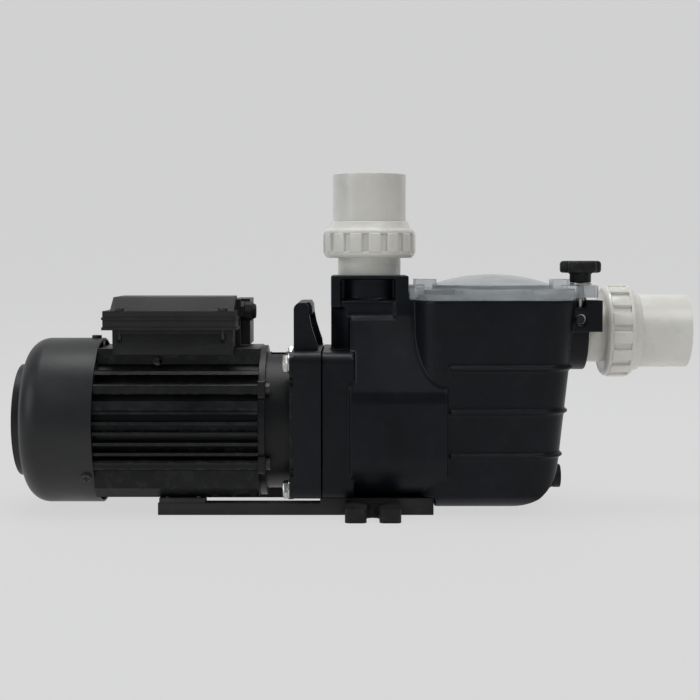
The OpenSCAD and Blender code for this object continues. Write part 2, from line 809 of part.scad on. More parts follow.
module diffuser_oring() color([0.04, 0.04, 0.04])
  translate([48.7, 0, axis_z]) rotate([0, 90, 0]) oring(19.2, 1.15);

module housing_bolts() color([0.75, 0.75, 0.76])
  at_corners() {
    translate([-56.6, 0, 0]) rotate([0, 90, 0]) cylinder(h = 4.2, r = 7.5, $fn = 6);
    translate([-52.5, 0, 0]) rotate([0, 90, 0]) cylinder(h = 1.4, r = 8);
    translate([-51.2, 0, 0]) rotate([0, 90, 0]) cylinder(h = 39, r = 4);
  }

// ---- Strainer and lid ----

module strainer_basket() color([0.88, 0.88, 0.86])
  translate([pot_x, 0, 0]) difference() {
    union() {
      difference() {
        union() {
          translate([0, 0, basket_z0]) cylinder(h = 167.4 - basket_z0, r1 = basket_r_floor,
            r2 = basket_r_top);
          translate([0, 0, 167.3]) cylinder(h = 2.2, r = mouth_r + 2);
        }
        translate([0, 0, basket_z0 + 2.4])
          cylinder(h = 168 - basket_z0, r1 = basket_r_floor - 2.2, r2 = basket_r_top - 2.2);
      }
      for (s = [-1, 1]) translate([s * 49 - 2, -4, 165]) cube([4, 8, 9.6]);
    }
    for (i = [0 : 3])
      rotate([0, 0, i * 45 + 22.5]) translate([-60, -11, basket_z0 + 9]) cube([120, 22, 68]);
    for (i = [0 : 5])
      rotate([0, 0, i * 60]) translate([22, 0, basket_z0 - 1]) cylinder(h = 5, r = 8);
    translate([0, 0, suction_z - 1]) rotate([0, 90, 0]) cylinder(h = 60, r = 19);
    translate([-60, 0, 172]) rotate([0, 90, 0]) cylinder(h = 120, r = 2.05);
  }

module basket_handle() color([0.88, 0.88, 0.86])
  translate([pot_x, 0, 172]) {
    intersection() {
      rotate_extrude() translate([44, 0]) circle(2);
      translate([-60, -60, -10]) cube([120, 60, 20]);
    }
    for (s = [-1, 1]) translate([s > 0 ? 43 : -51.2, 0, 0]) rotate([0, 90, 0]) cylinder(h = 8.2, r = 2);
  }

module lid_oring() color([0.04, 0.04, 0.04])
  translate([pot_x, 0, 170]) oring(60.5, 1.85);

// Round cap of the given radius, flat side at the flange, drawn as half a section.
module dome_section(r, half, z0)
  intersection() {
    translate([0, dome_z + dome_sag - dome_sphere]) circle(r);
    translate([0, z0]) square([half, 40]);
  }

module lid() color([0.75, 0.78, 0.78, 0.4])
  difference() {
    union() {
      along_z(lid_z, lid_flange_top)
        soft_rect([pot_x - pot_half_x + 1.5, -pot_half_y - 2.5], [pot_x + pot_half_x - 1,
          pot_half_y + 2.5], 24);
      translate([pot_x, 0, 0]) rotate_extrude() dome_section(dome_sphere, window_r, lid_flange_top - 1);
      block([tower_x + tower_half_x + 0.8, -31, lid_z], [60, 31, lid_flange_top]);
      block([42, -12, 183], [68, 12, 188.5]);
      block([tower_x + tower_half_x + 0.8, -12, 178], [68, 12, 184]);
      block([tower_x + tower_half_x + 0.8, -28, 178], [58, 28, 183.5]);
      block([165, -54, 174.3], [193.5, -30, ear_top]);
      block([158, -51, 178], [171.4, -27, 189]);
    }
    translate([pot_x, 0, 0]) rotate_extrude()
      dome_section(dome_sphere - 4.5, window_r - 3, lid_z - 1);
    translate([pot_x, 0, lid_z - 1]) cylinder(h = 4, r = mouth_r + 0.5);
    // Room for the union nut over it as the lid is lifted off
    translate([tower_x, 0, lid_z - 1]) cylinder(h = 30, r = nut_r + 0.6);
    block([bolt_x, bolt_y - 3.6, 160], [200, bolt_y + 3.6, 200]);
    translate([bolt_x, bolt_y, 160]) cylinder(h = 40, r = 3.6);
    along_z(lid_z - 1, lid_z + 4.5) difference() {
      soft_rect([pot_x - pot_half_x + 5, -pot_half_y + 1], [pot_x + pot_half_x - 5, pot_half_y - 1], 20);
      translate([pot_x, 0]) circle(63);
    }
  }

module swing_bolt() color([0.78, 0.78, 0.79])
  difference() {
    union() {
      translate([bolt_x, bolt_y, 160]) cylinder(h = 38, r = bolt_r);
      translate([bolt_x, bolt_y + 3.4, 157]) rotate([90, 0, 0]) cylinder(h = 6.8, r = 6.5);
    }
    translate([bolt_x, bolt_y + 5, 157]) rotate([90, 0, 0]) cylinder(h = 10, r = 3.02);
  }

module swing_pin() color([0.3, 0.3, 0.31])
  translate([bolt_x, -27.3, 157]) rotate([90, 0, 0]) cylinder(h = 19.1, r = 3);

module knob_washer() color([0.75, 0.75, 0.76])
  translate([bolt_x, bolt_y, ear_top + gap]) difference() {
    cylinder(h = 1.5, r = 9);
    translate([0, 0, -1]) cylinder(h = 4, r = 3.4);
  }

module lid_knob() color([0.07, 0.07, 0.08])
  translate([bolt_x, bolt_y, 0]) difference() {
    union() {
      translate([0, 0, 186.1]) cylinder(h = 9, r = 8.5);
      translate([0, 0, 194]) cylinder(h = 9.5, r = 12.5);
      for (i = [0 : knob_lobes - 1])
        rotate([0, 0, i * 360 / knob_lobes]) translate([12.2, 0, 194]) cylinder(h = 9.5, r = 4.3);
    }
    for (i = [0 : knob_lobes - 1])
      rotate([0, 0, (i + 0.5) * 360 / knob_lobes]) translate([15.2, 0, 190]) cylinder(h = 20, r = 3);
    translate([0, 0, 180]) cylinder(h = 20.5, r = 3.4);
  }

// ---- Unions, drawn upwards from the port face ----

module union_adaptor()
  difference() {
    union() {
      translate([0, 0, -11]) cylinder(h = 11.5, r = 24.9);
      cylinder(h = neck_h + 1, r = 25.8);
      translate([0, 0, neck_h + 0.6]) cylinder(h = collar_z0 - neck_h - 1, r = 33);
    }
    translate([0, 0, -20]) cylinder(h = 60, r = 20.5);
    translate([0, 0, collar_z0 - 4.2]) difference() {
      cylinder(h = 6, r = 29.2);
      translate([0, 0, -1]) cylinder(h = 8, r = 24.8);
    }
  }

module union_oring() translate([0, 0, collar_z0 - 2.3]) oring(27, 1.8);

module union_tail(length)
  difference() {
    union() {
      translate([0, 0, collar_z0]) cylinder(h = 5, r = 32.7);
      translate([0, 0, collar_z0]) cylinder(h = length - collar_z0, r = tail_r);
    }
    cylinder(h = length, r = 21);
    translate([0, 0, length - socket_depth]) cylinder(h = socket_depth + 1, r = socket_r);
  }

// Nut with raised grips between two rims, and a narrow ring on its outer end.
module union_nut() {
  rim_r = nut_r - 0.6;
  grip_z0 = nut_z0 + 4;
  grip_z1 = nut_z1 - 9.3;
  difference() {
    union() {
      translate([0, 0, nut_z0]) cylinder(h = grip_z1 - nut_z0, r = nut_r - 2.4);
      translate([0, 0, nut_z0]) cylinder(h = 3, r1 = nut_r - 3.2, r2 = rim_r);
      translate([0, 0, nut_z0 + 3]) cylinder(h = 2, r = rim_r);
      translate([0, 0, grip_z1 - 1]) cylinder(h = 2.5, r = rim_r);
      translate([0, 0, grip_z1 + 1.5]) cylinder(h = 2.3, r1 = rim_r, r2 = nut_r - 3.6);
      translate([0, 0, grip_z1]) cylinder(h = nut_z1 - grip_z1 - 1, r = nut_r - 4.2);
      translate([0, 0, nut_z1 - 1]) cylinder(h = 1, r1 = nut_r - 4.2, r2 = nut_r - 5.2);
      intersection() {
        translate([0, 0, grip_z0]) cylinder(h = grip_z1 - grip_z0, r = nut_r);
        for (i = [0 : nut_grips - 1])
          rotate([0, 0, (i + 0.5) * 360 / nut_grips])
            translate([nut_r - 8, -5.4, grip_z0]) cube([10, 10.8, grip_z1 - grip_z0]);
      }
    }
    translate([0, 0, nut_z0 - 1]) cylinder(h = collar_z1 + gap - nut_z0 + 1, r = 33);
    translate([0, 0, nut_z0]) cylinder(h = 40, r = tail_r + gap);
  }
}

module at_suction() translate([suction_x, 0, suction_z]) rotate([0, 90, 0]) children();
module at_discharge() translate([tower_x, 0, tower_top]) children();

module suction_adaptor() color([0.9, 0.9, 0.88]) at_suction() union_adaptor();
module suction_oring() color([0.04, 0.04, 0.04]) at_suction() union_oring();
module suction_nut() color([0.92, 0.92, 0.9]) at_suction() union_nut();
module suction_tail() color([0.9, 0.9, 0.88]) at_suction() union_tail(union_length);
module discharge_adaptor() color([0.9, 0.9, 0.88]) at_discharge() union_adaptor();
module discharge_oring() color([0.04, 0.04, 0.04]) at_discharge() union_oring();
module discharge_nut() color([0.92, 0.92, 0.9]) at_discharge() union_nut();
module discharge_tail() color([0.9, 0.9, 0.88]) at_discharge() union_tail(union_length - discharge_cut);

// ---- Drain ----

module drain_oring() color([0.04, 0.04, 0.04])
  translate([drain_x + 1.9, 0, drain_z]) rotate([0, 90, 0]) oring(8.4, 1.5);

module drain_plug() color([0.08, 0.08, 0.09])
  difference() {
    union() {
      bar(150, drain_x + 3.8, 0, drain_z, 6.85);
      bar(drain_x + 3.7, drain_x + 10, 0, drain_z, 9.6);
    }
    hex_bar(drain_x + 6, drain_x + 12, 0, drain_z, 4.6);
    bar(140, drain_x + 2, 0, drain_z, 4);
  }

// ---- Base ----

module motor_pads() color([0.05, 0.05, 0.05])
  for (s = [-1, 1])
    difference() {
      block([-156, s > 0 ? 36.5 : -49.5, rail_h + skin], [-119, s > 0 ? 49.5 : -36.5, 13.55]);
      for (x = [-150, -125]) translate([x, s * 42, 0]) cylinder(h = 20, r = 3);
    }

module base_frame() color([0.08, 0.08, 0.09])
  difference() {
    union() {
      for (s = [-1, 1]) {
        y0 = s > 0 ? rail_half - rail_w : -rail_half;
        block([base_x0, y0, 0], [-6, y0 + rail_w, rail_h]);
        block([-27, y0, 0], [base_x1, y0 + rail_w, saddle_h]);
        for (x = [-7, 20])
          along_z(0, foot_h) soft_rect([x, s > 0 ? 40 : -foot_half], [x + 17, s > 0 ? foot_half : -40], 4);
        block([-7, s > 0 ? 40 : -66, 0], [37, s > 0 ? 66 : -40, foot_h]);
        block([base_x0, s > 0 ? rail_half - 4 : -rail_half, rail_h - 0.1],
          [base_x0 + 1.2, s > 0 ? rail_half : -rail_half + 4, rail_h]);
      }
      block([-27, -40, 7.6], [base_x1, 40, saddle_h]);
      for (y = [-12, 12]) block([-27, y - 1.5, 0], [base_x1, y + 1.5, 8]);
      block([-27, -40, 0], [-24, 40, 8]);
      block([base_x1 - 3, -40, 0], [base_x1, 40, 8]);
    }
    for (s = [-1, 1]) {
      translate([15, s * 68, -1]) cylinder(h = foot_h + 2, r = notch_w / 2);
      block([15 - notch_w / 2, s > 0 ? 68 : -foot_half - 1, -1],
        [15 + notch_w / 2, s > 0 ? foot_half + 1 : -68, foot_h + 1]);
      for (x = [-150, -125]) {
        translate([x, s * 42, -1]) cylinder(h = 20, r = 2.6);
        translate([x, s * 42, -1]) cylinder(h = 5.5, r = 5);
      }
    }
    for (x = [-12, 48], y = [-22, 22]) translate([x, y, -1]) cylinder(h = 20, r = 2.8);
  }

module base_screws() color([0.7, 0.7, 0.71]) {
  for (x = [-12, 48], y = [-22, 22]) translate([x, y, 0]) {
    translate([0, 0, 3.9]) cylinder(h = 3.6, r = 5);
    translate([0, 0, 7]) cylinder(h = 15, r = 2.5);
  }
  for (x = [-150, -125], y = [-42, 42]) translate([x, y, 0]) {
    translate([0, 0, 1]) cylinder(h = 3.4, r = 4.8);
    translate([0, 0, 4]) cylinder(h = 20, r = 2.4);
  }
}

fan_cover();
fan_cover_screws();
cooling_fan();
rear_end_shield();
rear_bearing();
wave_washer();
motor_frame();
stator_core();
stator_windings();
rotor_core();
motor_shaft();
front_bearing();
front_end_shield();
tie_bolts();
tie_bolt_nuts();
earth_screw();
box_gasket();
box_base();
box_lid();
box_screws();
terminal_block();
run_capacitor();
gland_body();
gland_seal();
gland_nut();
slinger_ring();
mounting_flange();
volute();
strainer_pot();
seal_plate();
body_oring();
seal_seat();
seal_head();
impeller();
diffuser();
diffuser_oring();
housing_bolts();
strainer_basket();
basket_handle();
lid_oring();
lid();
swing_bolt();
swing_pin();
knob_washer();
lid_knob();
suction_adaptor();
suction_oring();
suction_nut();
suction_tail();
discharge_adaptor();
discharge_oring();
discharge_nut();
discharge_tail();
drain_oring();
drain_plug();
motor_pads();
base_frame();
base_screws();
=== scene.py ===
import bpy, bmesh, json, math
from mathutils import Matrix, Vector


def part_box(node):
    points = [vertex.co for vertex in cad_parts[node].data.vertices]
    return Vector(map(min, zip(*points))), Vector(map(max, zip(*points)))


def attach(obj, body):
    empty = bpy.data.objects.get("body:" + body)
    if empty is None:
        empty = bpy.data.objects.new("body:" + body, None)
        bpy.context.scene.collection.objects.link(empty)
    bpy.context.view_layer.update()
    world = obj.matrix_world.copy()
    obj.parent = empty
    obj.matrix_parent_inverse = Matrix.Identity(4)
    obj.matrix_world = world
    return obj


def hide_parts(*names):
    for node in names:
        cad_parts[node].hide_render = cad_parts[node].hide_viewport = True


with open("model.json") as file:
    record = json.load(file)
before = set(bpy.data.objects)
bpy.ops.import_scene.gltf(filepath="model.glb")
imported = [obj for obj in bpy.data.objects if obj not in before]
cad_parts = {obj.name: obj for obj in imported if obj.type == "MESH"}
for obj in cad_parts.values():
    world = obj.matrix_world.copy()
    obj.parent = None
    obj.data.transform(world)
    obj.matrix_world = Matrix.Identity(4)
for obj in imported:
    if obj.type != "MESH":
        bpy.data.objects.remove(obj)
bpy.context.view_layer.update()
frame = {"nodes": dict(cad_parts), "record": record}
print("stage: frame loaded,", len(frame["nodes"]), "nodes")
scene = bpy.context.scene
scene.view_settings.view_transform = "Standard"
slotOf = {part["node"]: part["material_slot"] for part in frame["record"]["subparts"]}


def newMaterial(name):  # an empty node tree
    material = bpy.data.materials.new(name)
    material.use_nodes = True
    tree = material.node_tree
    tree.nodes.clear()
    return material, tree, tree.nodes, tree.links


mouldedSettings = {
    "black_moulding": dict(dark=(0.0022, 0.0030, 0.0048, 1), light=(0.0050, 0.0064, 0.0098, 1),
                           rough=(0.32, 0.46), grain=0.10,
                    grainScale=1500.0, dust=(0.10, 0.10, 0.098, 1), dustAmount=0.06),
    "base_plastic": dict(dark=(0.0034, 0.0036, 0.0042, 1), light=(0.0072, 0.0076, 0.0086, 1), rough=(0.42, 0.6),
                         grain=0.14,
                 grainScale=1100.0, dust=(0.17, 0.16, 0.15, 1), dustAmount=0.16),
    "box_plastic": dict(dark=(0.0070, 0.0072, 0.0076, 1), light=(0.0135, 0.0138, 0.0144, 1), rough=(0.40, 0.55),
                        grain=0.20,
                grainScale=900.0, dust=(0.17, 0.165, 0.16, 1), dustAmount=0.10),
    "knob_plastic": dict(dark=(0.0046, 0.0050, 0.0054, 1), light=(0.0096, 0.0102, 0.0108, 1), rough=(0.38, 0.5),
                         grain=0.12,
                 grainScale=1300.0, dust=(0.14, 0.135, 0.13, 1), dustAmount=0.12),
    "inner_plastic": dict(dark=(0.035, 0.036, 0.038, 1), light=(0.06, 0.061, 0.065, 1), rough=(0.45, 0.6),
                          grain=0.1,
                  grainScale=1200.0, dust=(0.2, 0.2, 0.2, 1), dustAmount=0.05),
    "black_rubber": dict(dark=(0.012, 0.012, 0.012, 1), light=(0.026, 0.026, 0.026, 1), rough=(0.62, 0.82),
                         grain=0.22,
                         grainScale=800.0, dust=(0.15, 0.15, 0.145, 1), dustAmount=0.20),
}


def mouldedPlastic(name, dark, light, rough, grain, grainScale, dust, dustAmount):
    material, tree, nodes, links = newMaterial(name)
    output = nodes.new("ShaderNodeOutputMaterial"); output.label = "finished plastic"
    output.location = (900, 0)
    shader = nodes.new("ShaderNodeBsdfPrincipled"); shader.label = "moulded plastic"; shader.location = (620, 0)
    shader.inputs["Metallic"].default_value = 0.0
    shader.inputs["Specular IOR Level"].default_value = 0.21
    coords = nodes.new("ShaderNodeTexCoord"); coords.label = "place on the piece"; coords.location = (-1100, 0)
    colourFrame = nodes.new("NodeFrame"); colourFrame.label = "colour of the moulding"
    cloud = nodes.new("ShaderNodeTexNoise"); cloud.label = "uneven pigment"; cloud.location = (-820, 260)
    cloud.parent = colourFrame
    cloud.inputs["Scale"].default_value = 26.0
    cloud.inputs["Detail"].default_value = 5.0
    cloud.inputs["Roughness"].default_value = 0.6
    pigment = nodes.new("ShaderNodeValToRGB"); pigment.label = "pigment range"; pigment.location = (-560, 260)
    pigment.parent = colourFrame
    pigment.color_ramp.elements[0].position = 0.32
    pigment.color_ramp.elements[0].color = dark
    pigment.color_ramp.elements[1].position = 0.70
    pigment.color_ramp.elements[1].color = light
    dustFrame = nodes.new("NodeFrame"); dustFrame.label = "dust and rubbed edges"
    speck = nodes.new("ShaderNodeTexNoise"); speck.label = "dust patches"; speck.location = (-820, -60)
    speck.parent = dustFrame
    speck.inputs["Scale"].default_value = 75.0
    speck.inputs["Detail"].default_value = 8.0
    speck.inputs["Roughness"].default_value = 0.72
    edge = nodes.new("ShaderNodeNewGeometry"); edge.label = "edges of the moulding"
    edge.location = (-1100, -320); edge.parent = dustFrame
    edgeRange = nodes.new("ShaderNodeMapRange"); edgeRange.label = "only sharp edges"
    edgeRange.location = (-820, -320); edgeRange.parent = dustFrame
    edgeRange.inputs["From Min"].default_value = 0.51
    edgeRange.inputs["From Max"].default_value = 0.62
    dustRange = nodes.new("ShaderNodeMapRange"); dustRange.label = "where dust settles"
    dustRange.location = (-560, -60); dustRange.parent = dustFrame
    dustRange.inputs["From Min"].default_value = 0.52
    dustRange.inputs["From Max"].default_value = 0.80
    dustSum = nodes.new("ShaderNodeMath"); dustSum.label = "dust plus rubbing"; dustSum.location = (-340, -160)
    dustSum.parent = dustFrame
    dustSum.operation = "ADD"; dustSum.use_clamp = True
    dustLevel = nodes.new("ShaderNodeMath"); dustLevel.label = "how much shows"
    dustLevel.location = (-140, -160); dustLevel.parent = dustFrame
    dustLevel.operation = "MULTIPLY"
    dustLevel.inputs[1].default_value = dustAmount
    dusted = nodes.new("ShaderNodeMix"); dusted.label = "dust over pigment"; dusted.location = (120, 160)
    dusted.parent = dustFrame
    dusted.data_type = "RGBA"
    dusted.inputs["B"].default_value = dust
    sheenFrame = nodes.new("NodeFrame"); sheenFrame.label = "shine"
    handled = nodes.new("ShaderNodeTexNoise"); handled.label = "handled patches"
    handled.location = (-820, -560); handled.parent = sheenFrame
    handled.inputs["Scale"].default_value = 18.0
    handled.inputs["Detail"].default_value = 6.0
    shine = nodes.new("ShaderNodeMapRange"); shine.label = "shine range"; shine.location = (-560, -560)
    shine.parent = sheenFrame
    shine.inputs["From Min"].default_value = 0.35
    shine.inputs["From Max"].default_value = 0.65
    shine.inputs["To Min"].default_value = rough[0]
    shine.inputs["To Max"].default_value = rough[1]
    grainFrame = nodes.new("NodeFrame"); grainFrame.label = "mould grain and flow"
    fine = nodes.new("ShaderNodeTexNoise"); fine.label = "spark-eroded grain"; fine.location = (-820, -840)
    fine.parent = grainFrame
    fine.inputs["Scale"].default_value = grainScale
    fine.inputs["Detail"].default_value = 3.0
    flow = nodes.new("ShaderNodeTexNoise"); flow.label = "slight sink marks"; flow.location = (-820, -1080)
    flow.parent = grainFrame
    flow.inputs["Scale"].default_value = 14.0
    flow.inputs["Detail"].default_value = 2.0
    fineBump = nodes.new("ShaderNodeBump"); fineBump.label = "grain height"; fineBump.location = (-300, -840)
    fineBump.parent = grainFrame
    fineBump.inputs["Strength"].default_value = grain
    fineBump.inputs["Distance"].default_value = 0.0002
    flowBump = nodes.new("ShaderNodeBump"); flowBump.label = "sink height"; flowBump.location = (-540, -1080)
    flowBump.parent = grainFrame
    flowBump.inputs["Strength"].default_value = 0.22
    flowBump.inputs["Distance"].default_value = 0.002
    for noise in (cloud, speck, handled, fine, flow):
        links.new(coords.outputs["Object"], noise.inputs["Vector"])
    links.new(cloud.outputs["Fac"], pigment.inputs["Fac"])
    links.new(pigment.outputs["Color"], dusted.inputs["A"])
    links.new(speck.outputs["Fac"], dustRange.inputs["Value"])
    links.new(edge.outputs["Pointiness"], edgeRange.inputs["Value"])
    links.new(dustRange.outputs["Result"], dustSum.inputs[0])
    links.new(edgeRange.outputs["Result"], dustSum.inputs[1])
    links.new(dustSum.outputs["Value"], dustLevel.inputs[0])
    links.new(dustLevel.outputs["Value"], dusted.inputs["Factor"])
    links.new(dusted.outputs["Result"], shader.inputs["Base Color"])
    links.new(handled.outputs["Fac"], shine.inputs["Value"])
    links.new(shine.outputs["Result"], shader.inputs["Roughness"])
    links.new(fine.outputs["Fac"], fineBump.inputs["Height"])
    links.new(flow.outputs["Fac"], flowBump.inputs["Height"])
    links.new(flowBump.outputs["Normal"], fineBump.inputs["Normal"])
    links.new(fineBump.outputs["Normal"], shader.inputs["Normal"])
    links.new(shader.outputs["BSDF"], output.inputs["Surface"])
    return material



paintSettings = {
    "motor_paint": dict(dark=(0.0040, 0.0042, 0.0046, 1), light=(0.0095, 0.0098, 0.0108, 1),
                        under=(0.10, 0.10, 0.105, 1),
                        rough=(0.34, 0.50), peel=0.16, peelScale=520.0, coat=0.06, dustAmount=0.14),
    "cover_paint": dict(dark=(0.016, 0.0163, 0.0168, 1), light=(0.029, 0.0293, 0.0300, 1),
                        under=(0.13, 0.13, 0.135, 1),
                        rough=(0.36, 0.50), peel=0.13, peelScale=620.0, coat=0.08, dustAmount=0.10),
    "dark_steel": dict(dark=(0.018, 0.018, 0.0185, 1), light=(0.045, 0.044, 0.043, 1),
                       under=(0.30, 0.29, 0.28, 1),
                       rough=(0.30, 0.48), peel=0.05, peelScale=900.0, coat=0.1, dustAmount=0.18),
}


def paintedMetal(name, dark, light, under, rough, peel, peelScale, coat, dustAmount):
    material, tree, nodes, links = newMaterial(name)
    output = nodes.new("ShaderNodeOutputMaterial"); output.label = "finished paint"; output.location = (960, 0)
    shader = nodes.new("ShaderNodeBsdfPrincipled"); shader.label = "satin paint"; shader.location = (680, 0)
    shader.inputs["Specular IOR Level"].default_value = 0.24
    shader.inputs["Coat Weight"].default_value = coat
    shader.inputs["Coat Roughness"].default_value = 0.32
    coords = nodes.new("ShaderNodeTexCoord"); coords.label = "place on the piece"; coords.location = (-1120, 0)
    colourFrame = nodes.new("NodeFrame"); colourFrame.label = "colour of the paint"
    drift = nodes.new("ShaderNodeTexNoise"); drift.label = "uneven spray"; drift.location = (-860, 300)
    drift.parent = colourFrame
    drift.inputs["Scale"].default_value = 19.0
    drift.inputs["Detail"].default_value = 4.0
    paint = nodes.new("ShaderNodeValToRGB"); paint.label = "paint range"; paint.location = (-620, 300)
    paint.parent = colourFrame
    paint.color_ramp.elements[0].position = 0.30
    paint.color_ramp.elements[0].color = dark
    paint.color_ramp.elements[1].position = 0.72
    paint.color_ramp.elements[1].color = light
    wearFrame = nodes.new("NodeFrame"); wearFrame.label = "rubbed edges and dust"
    geometry = nodes.new("ShaderNodeNewGeometry"); geometry.label = "edges"; geometry.location = (-1120, -260)
    geometry.parent = wearFrame
    edge = nodes.new("ShaderNodeMapRange"); edge.label = "sharp edges only"; edge.location = (-860, -260)
    edge.parent = wearFrame
    edge.inputs["From Min"].default_value = 0.53
    edge.inputs["From Max"].default_value = 0.66
    chips = nodes.new("ShaderNodeTexNoise"); chips.label = "broken up"; chips.location = (-860, -20)
    chips.parent = wearFrame
    chips.inputs["Scale"].default_value = 160.0
    chips.inputs["Detail"].default_value = 7.0
    chipLevel = nodes.new("ShaderNodeMapRange"); chipLevel.label = "chip threshold"
    chipLevel.location = (-620, -20); chipLevel.parent = wearFrame
    chipLevel.inputs["From Min"].default_value = 0.48
    chipLevel.inputs["From Max"].default_value = 0.62
    worn = nodes.new("ShaderNodeMath"); worn.label = "worn where both"; worn.location = (-400, -140)
    worn.parent = wearFrame
    worn.operation = "MULTIPLY"
    wornLevel = nodes.new("ShaderNodeMath"); wornLevel.label = "how much wear"
    wornLevel.location = (-200, -140); wornLevel.parent = wearFrame
    wornLevel.operation = "MULTIPLY"
    wornLevel.inputs[1].default_value = 0.45
    rubbed = nodes.new("ShaderNodeMix"); rubbed.label = "primer at the edges"; rubbed.location = (60, 240)
    rubbed.parent = wearFrame
    rubbed.data_type = "RGBA"
    rubbed.inputs["B"].default_value = under
    dust = nodes.new("ShaderNodeTexNoise"); dust.label = "settled dust"; dust.location = (-860, -520)
    dust.parent = wearFrame
    dust.inputs["Scale"].default_value = 48.0
    dust.inputs["Detail"].default_value = 9.0
    dust.inputs["Roughness"].default_value = 0.7
    upward = nodes.new("ShaderNodeSeparateXYZ"); upward.label = "how far it faces up"
    upward.location = (-860, -760); upward.parent = wearFrame
    dustSpread = nodes.new("ShaderNodeMapRange"); dustSpread.label = "dust patches"
    dustSpread.location = (-620, -520); dustSpread.parent = wearFrame
    dustSpread.inputs["From Min"].default_value = 0.42
    dustSpread.inputs["From Max"].default_value = 0.75
    dustUp = nodes.new("ShaderNodeMath"); dustUp.label = "dust on top faces"; dustUp.location = (-400, -600)
    dustUp.parent = wearFrame
    dustUp.operation = "MULTIPLY"; dustUp.use_clamp = True
    dustLevel = nodes.new("ShaderNodeMath"); dustLevel.label = "how much dust"
    dustLevel.location = (-200, -600); dustLevel.parent = wearFrame
    dustLevel.operation = "MULTIPLY"
    dustLevel.inputs[1].default_value = dustAmount
    dusted = nodes.new("ShaderNodeMix"); dusted.label = "dust over paint"; dusted.location = (320, 160)
    dusted.parent = wearFrame
    dusted.data_type = "RGBA"
    dusted.inputs["B"].default_value = (0.17, 0.165, 0.155, 1)
    shineFrame = nodes.new("NodeFrame"); shineFrame.label = "shine"
    touched = nodes.new("ShaderNodeTexNoise"); touched.label = "handled patches"
    touched.location = (-860, -1000); touched.parent = shineFrame
    touched.inputs["Scale"].default_value = 24.0
    touched.inputs["Detail"].default_value = 6.0
    shine = nodes.new("ShaderNodeMapRange"); shine.label = "shine range"; shine.location = (-620, -1000)
    shine.parent = shineFrame
    shine.inputs["From Min"].default_value = 0.34
    shine.inputs["From Max"].default_value = 0.66
    shine.inputs["To Min"].default_value = rough[0]
    shine.inputs["To Max"].default_value = rough[1]
    bumpFrame = nodes.new("NodeFrame"); bumpFrame.label = "orange peel and casting"
    orange = nodes.new("ShaderNodeTexNoise"); orange.label = "orange peel"; orange.location = (-860, -1240)
    orange.parent = bumpFrame
    orange.inputs["Scale"].default_value = peelScale
    orange.inputs["Detail"].default_value = 2.0
    cast = nodes.new("ShaderNodeTexNoise"); cast.label = "metal underneath"; cast.location = (-860, -1480)
    cast.parent = bumpFrame
    cast.inputs["Scale"].default_value = 70.0
    cast.inputs["Detail"].default_value = 3.0
    orangeBump = nodes.new("ShaderNodeBump"); orangeBump.label = "peel height"
    orangeBump.location = (-300, -1240); orangeBump.parent = bumpFrame
    orangeBump.inputs["Strength"].default_value = peel
    orangeBump.inputs["Distance"].default_value = 0.0004
    castBump = nodes.new("ShaderNodeBump"); castBump.label = "casting height"
    castBump.location = (-540, -1480); castBump.parent = bumpFrame
    castBump.inputs["Strength"].default_value = 0.10
    castBump.inputs["Distance"].default_value = 0.0008
    for noise in (drift, chips, dust, touched, orange, cast):
        links.new(coords.outputs["Object"], noise.inputs["Vector"])
    links.new(drift.outputs["Fac"], paint.inputs["Fac"])
    links.new(geometry.outputs["Pointiness"], edge.inputs["Value"])
    links.new(geometry.outputs["Normal"], upward.inputs["Vector"])
    links.new(chips.outputs["Fac"], chipLevel.inputs["Value"])
    links.new(edge.outputs["Result"], worn.inputs[0])
    links.new(chipLevel.outputs["Result"], worn.inputs[1])
    links.new(worn.outputs["Value"], wornLevel.inputs[0])
    links.new(wornLevel.outputs["Value"], rubbed.inputs["Factor"])
    links.new(paint.outputs["Color"], rubbed.inputs["A"])
    links.new(dust.outputs["Fac"], dustSpread.inputs["Value"])
    links.new(dustSpread.outputs["Result"], dustUp.inputs[0])
    links.new(upward.outputs["Z"], dustUp.inputs[1])
    links.new(dustUp.outputs["Value"], dustLevel.inputs[0])
    links.new(dustLevel.outputs["Value"], dusted.inputs["Factor"])
    links.new(rubbed.outputs["Result"], dusted.inputs["A"])
    links.new(dusted.outputs["Result"], shader.inputs["Base Color"])
    links.new(touched.outputs["Fac"], shine.inputs["Value"])
    links.new(shine.outputs["Result"], shader.inputs["Roughness"])
    links.new(orange.outputs["Fac"], orangeBump.inputs["Height"])
    links.new(cast.outputs["Fac"], castBump.inputs["Height"])
    links.new(castBump.outputs["Normal"], orangeBump.inputs["Normal"])
    links.new(orangeBump.outputs["Normal"], shader.inputs["Normal"])
    links.new(shader.outputs["BSDF"], output.inputs["Surface"])
    return material


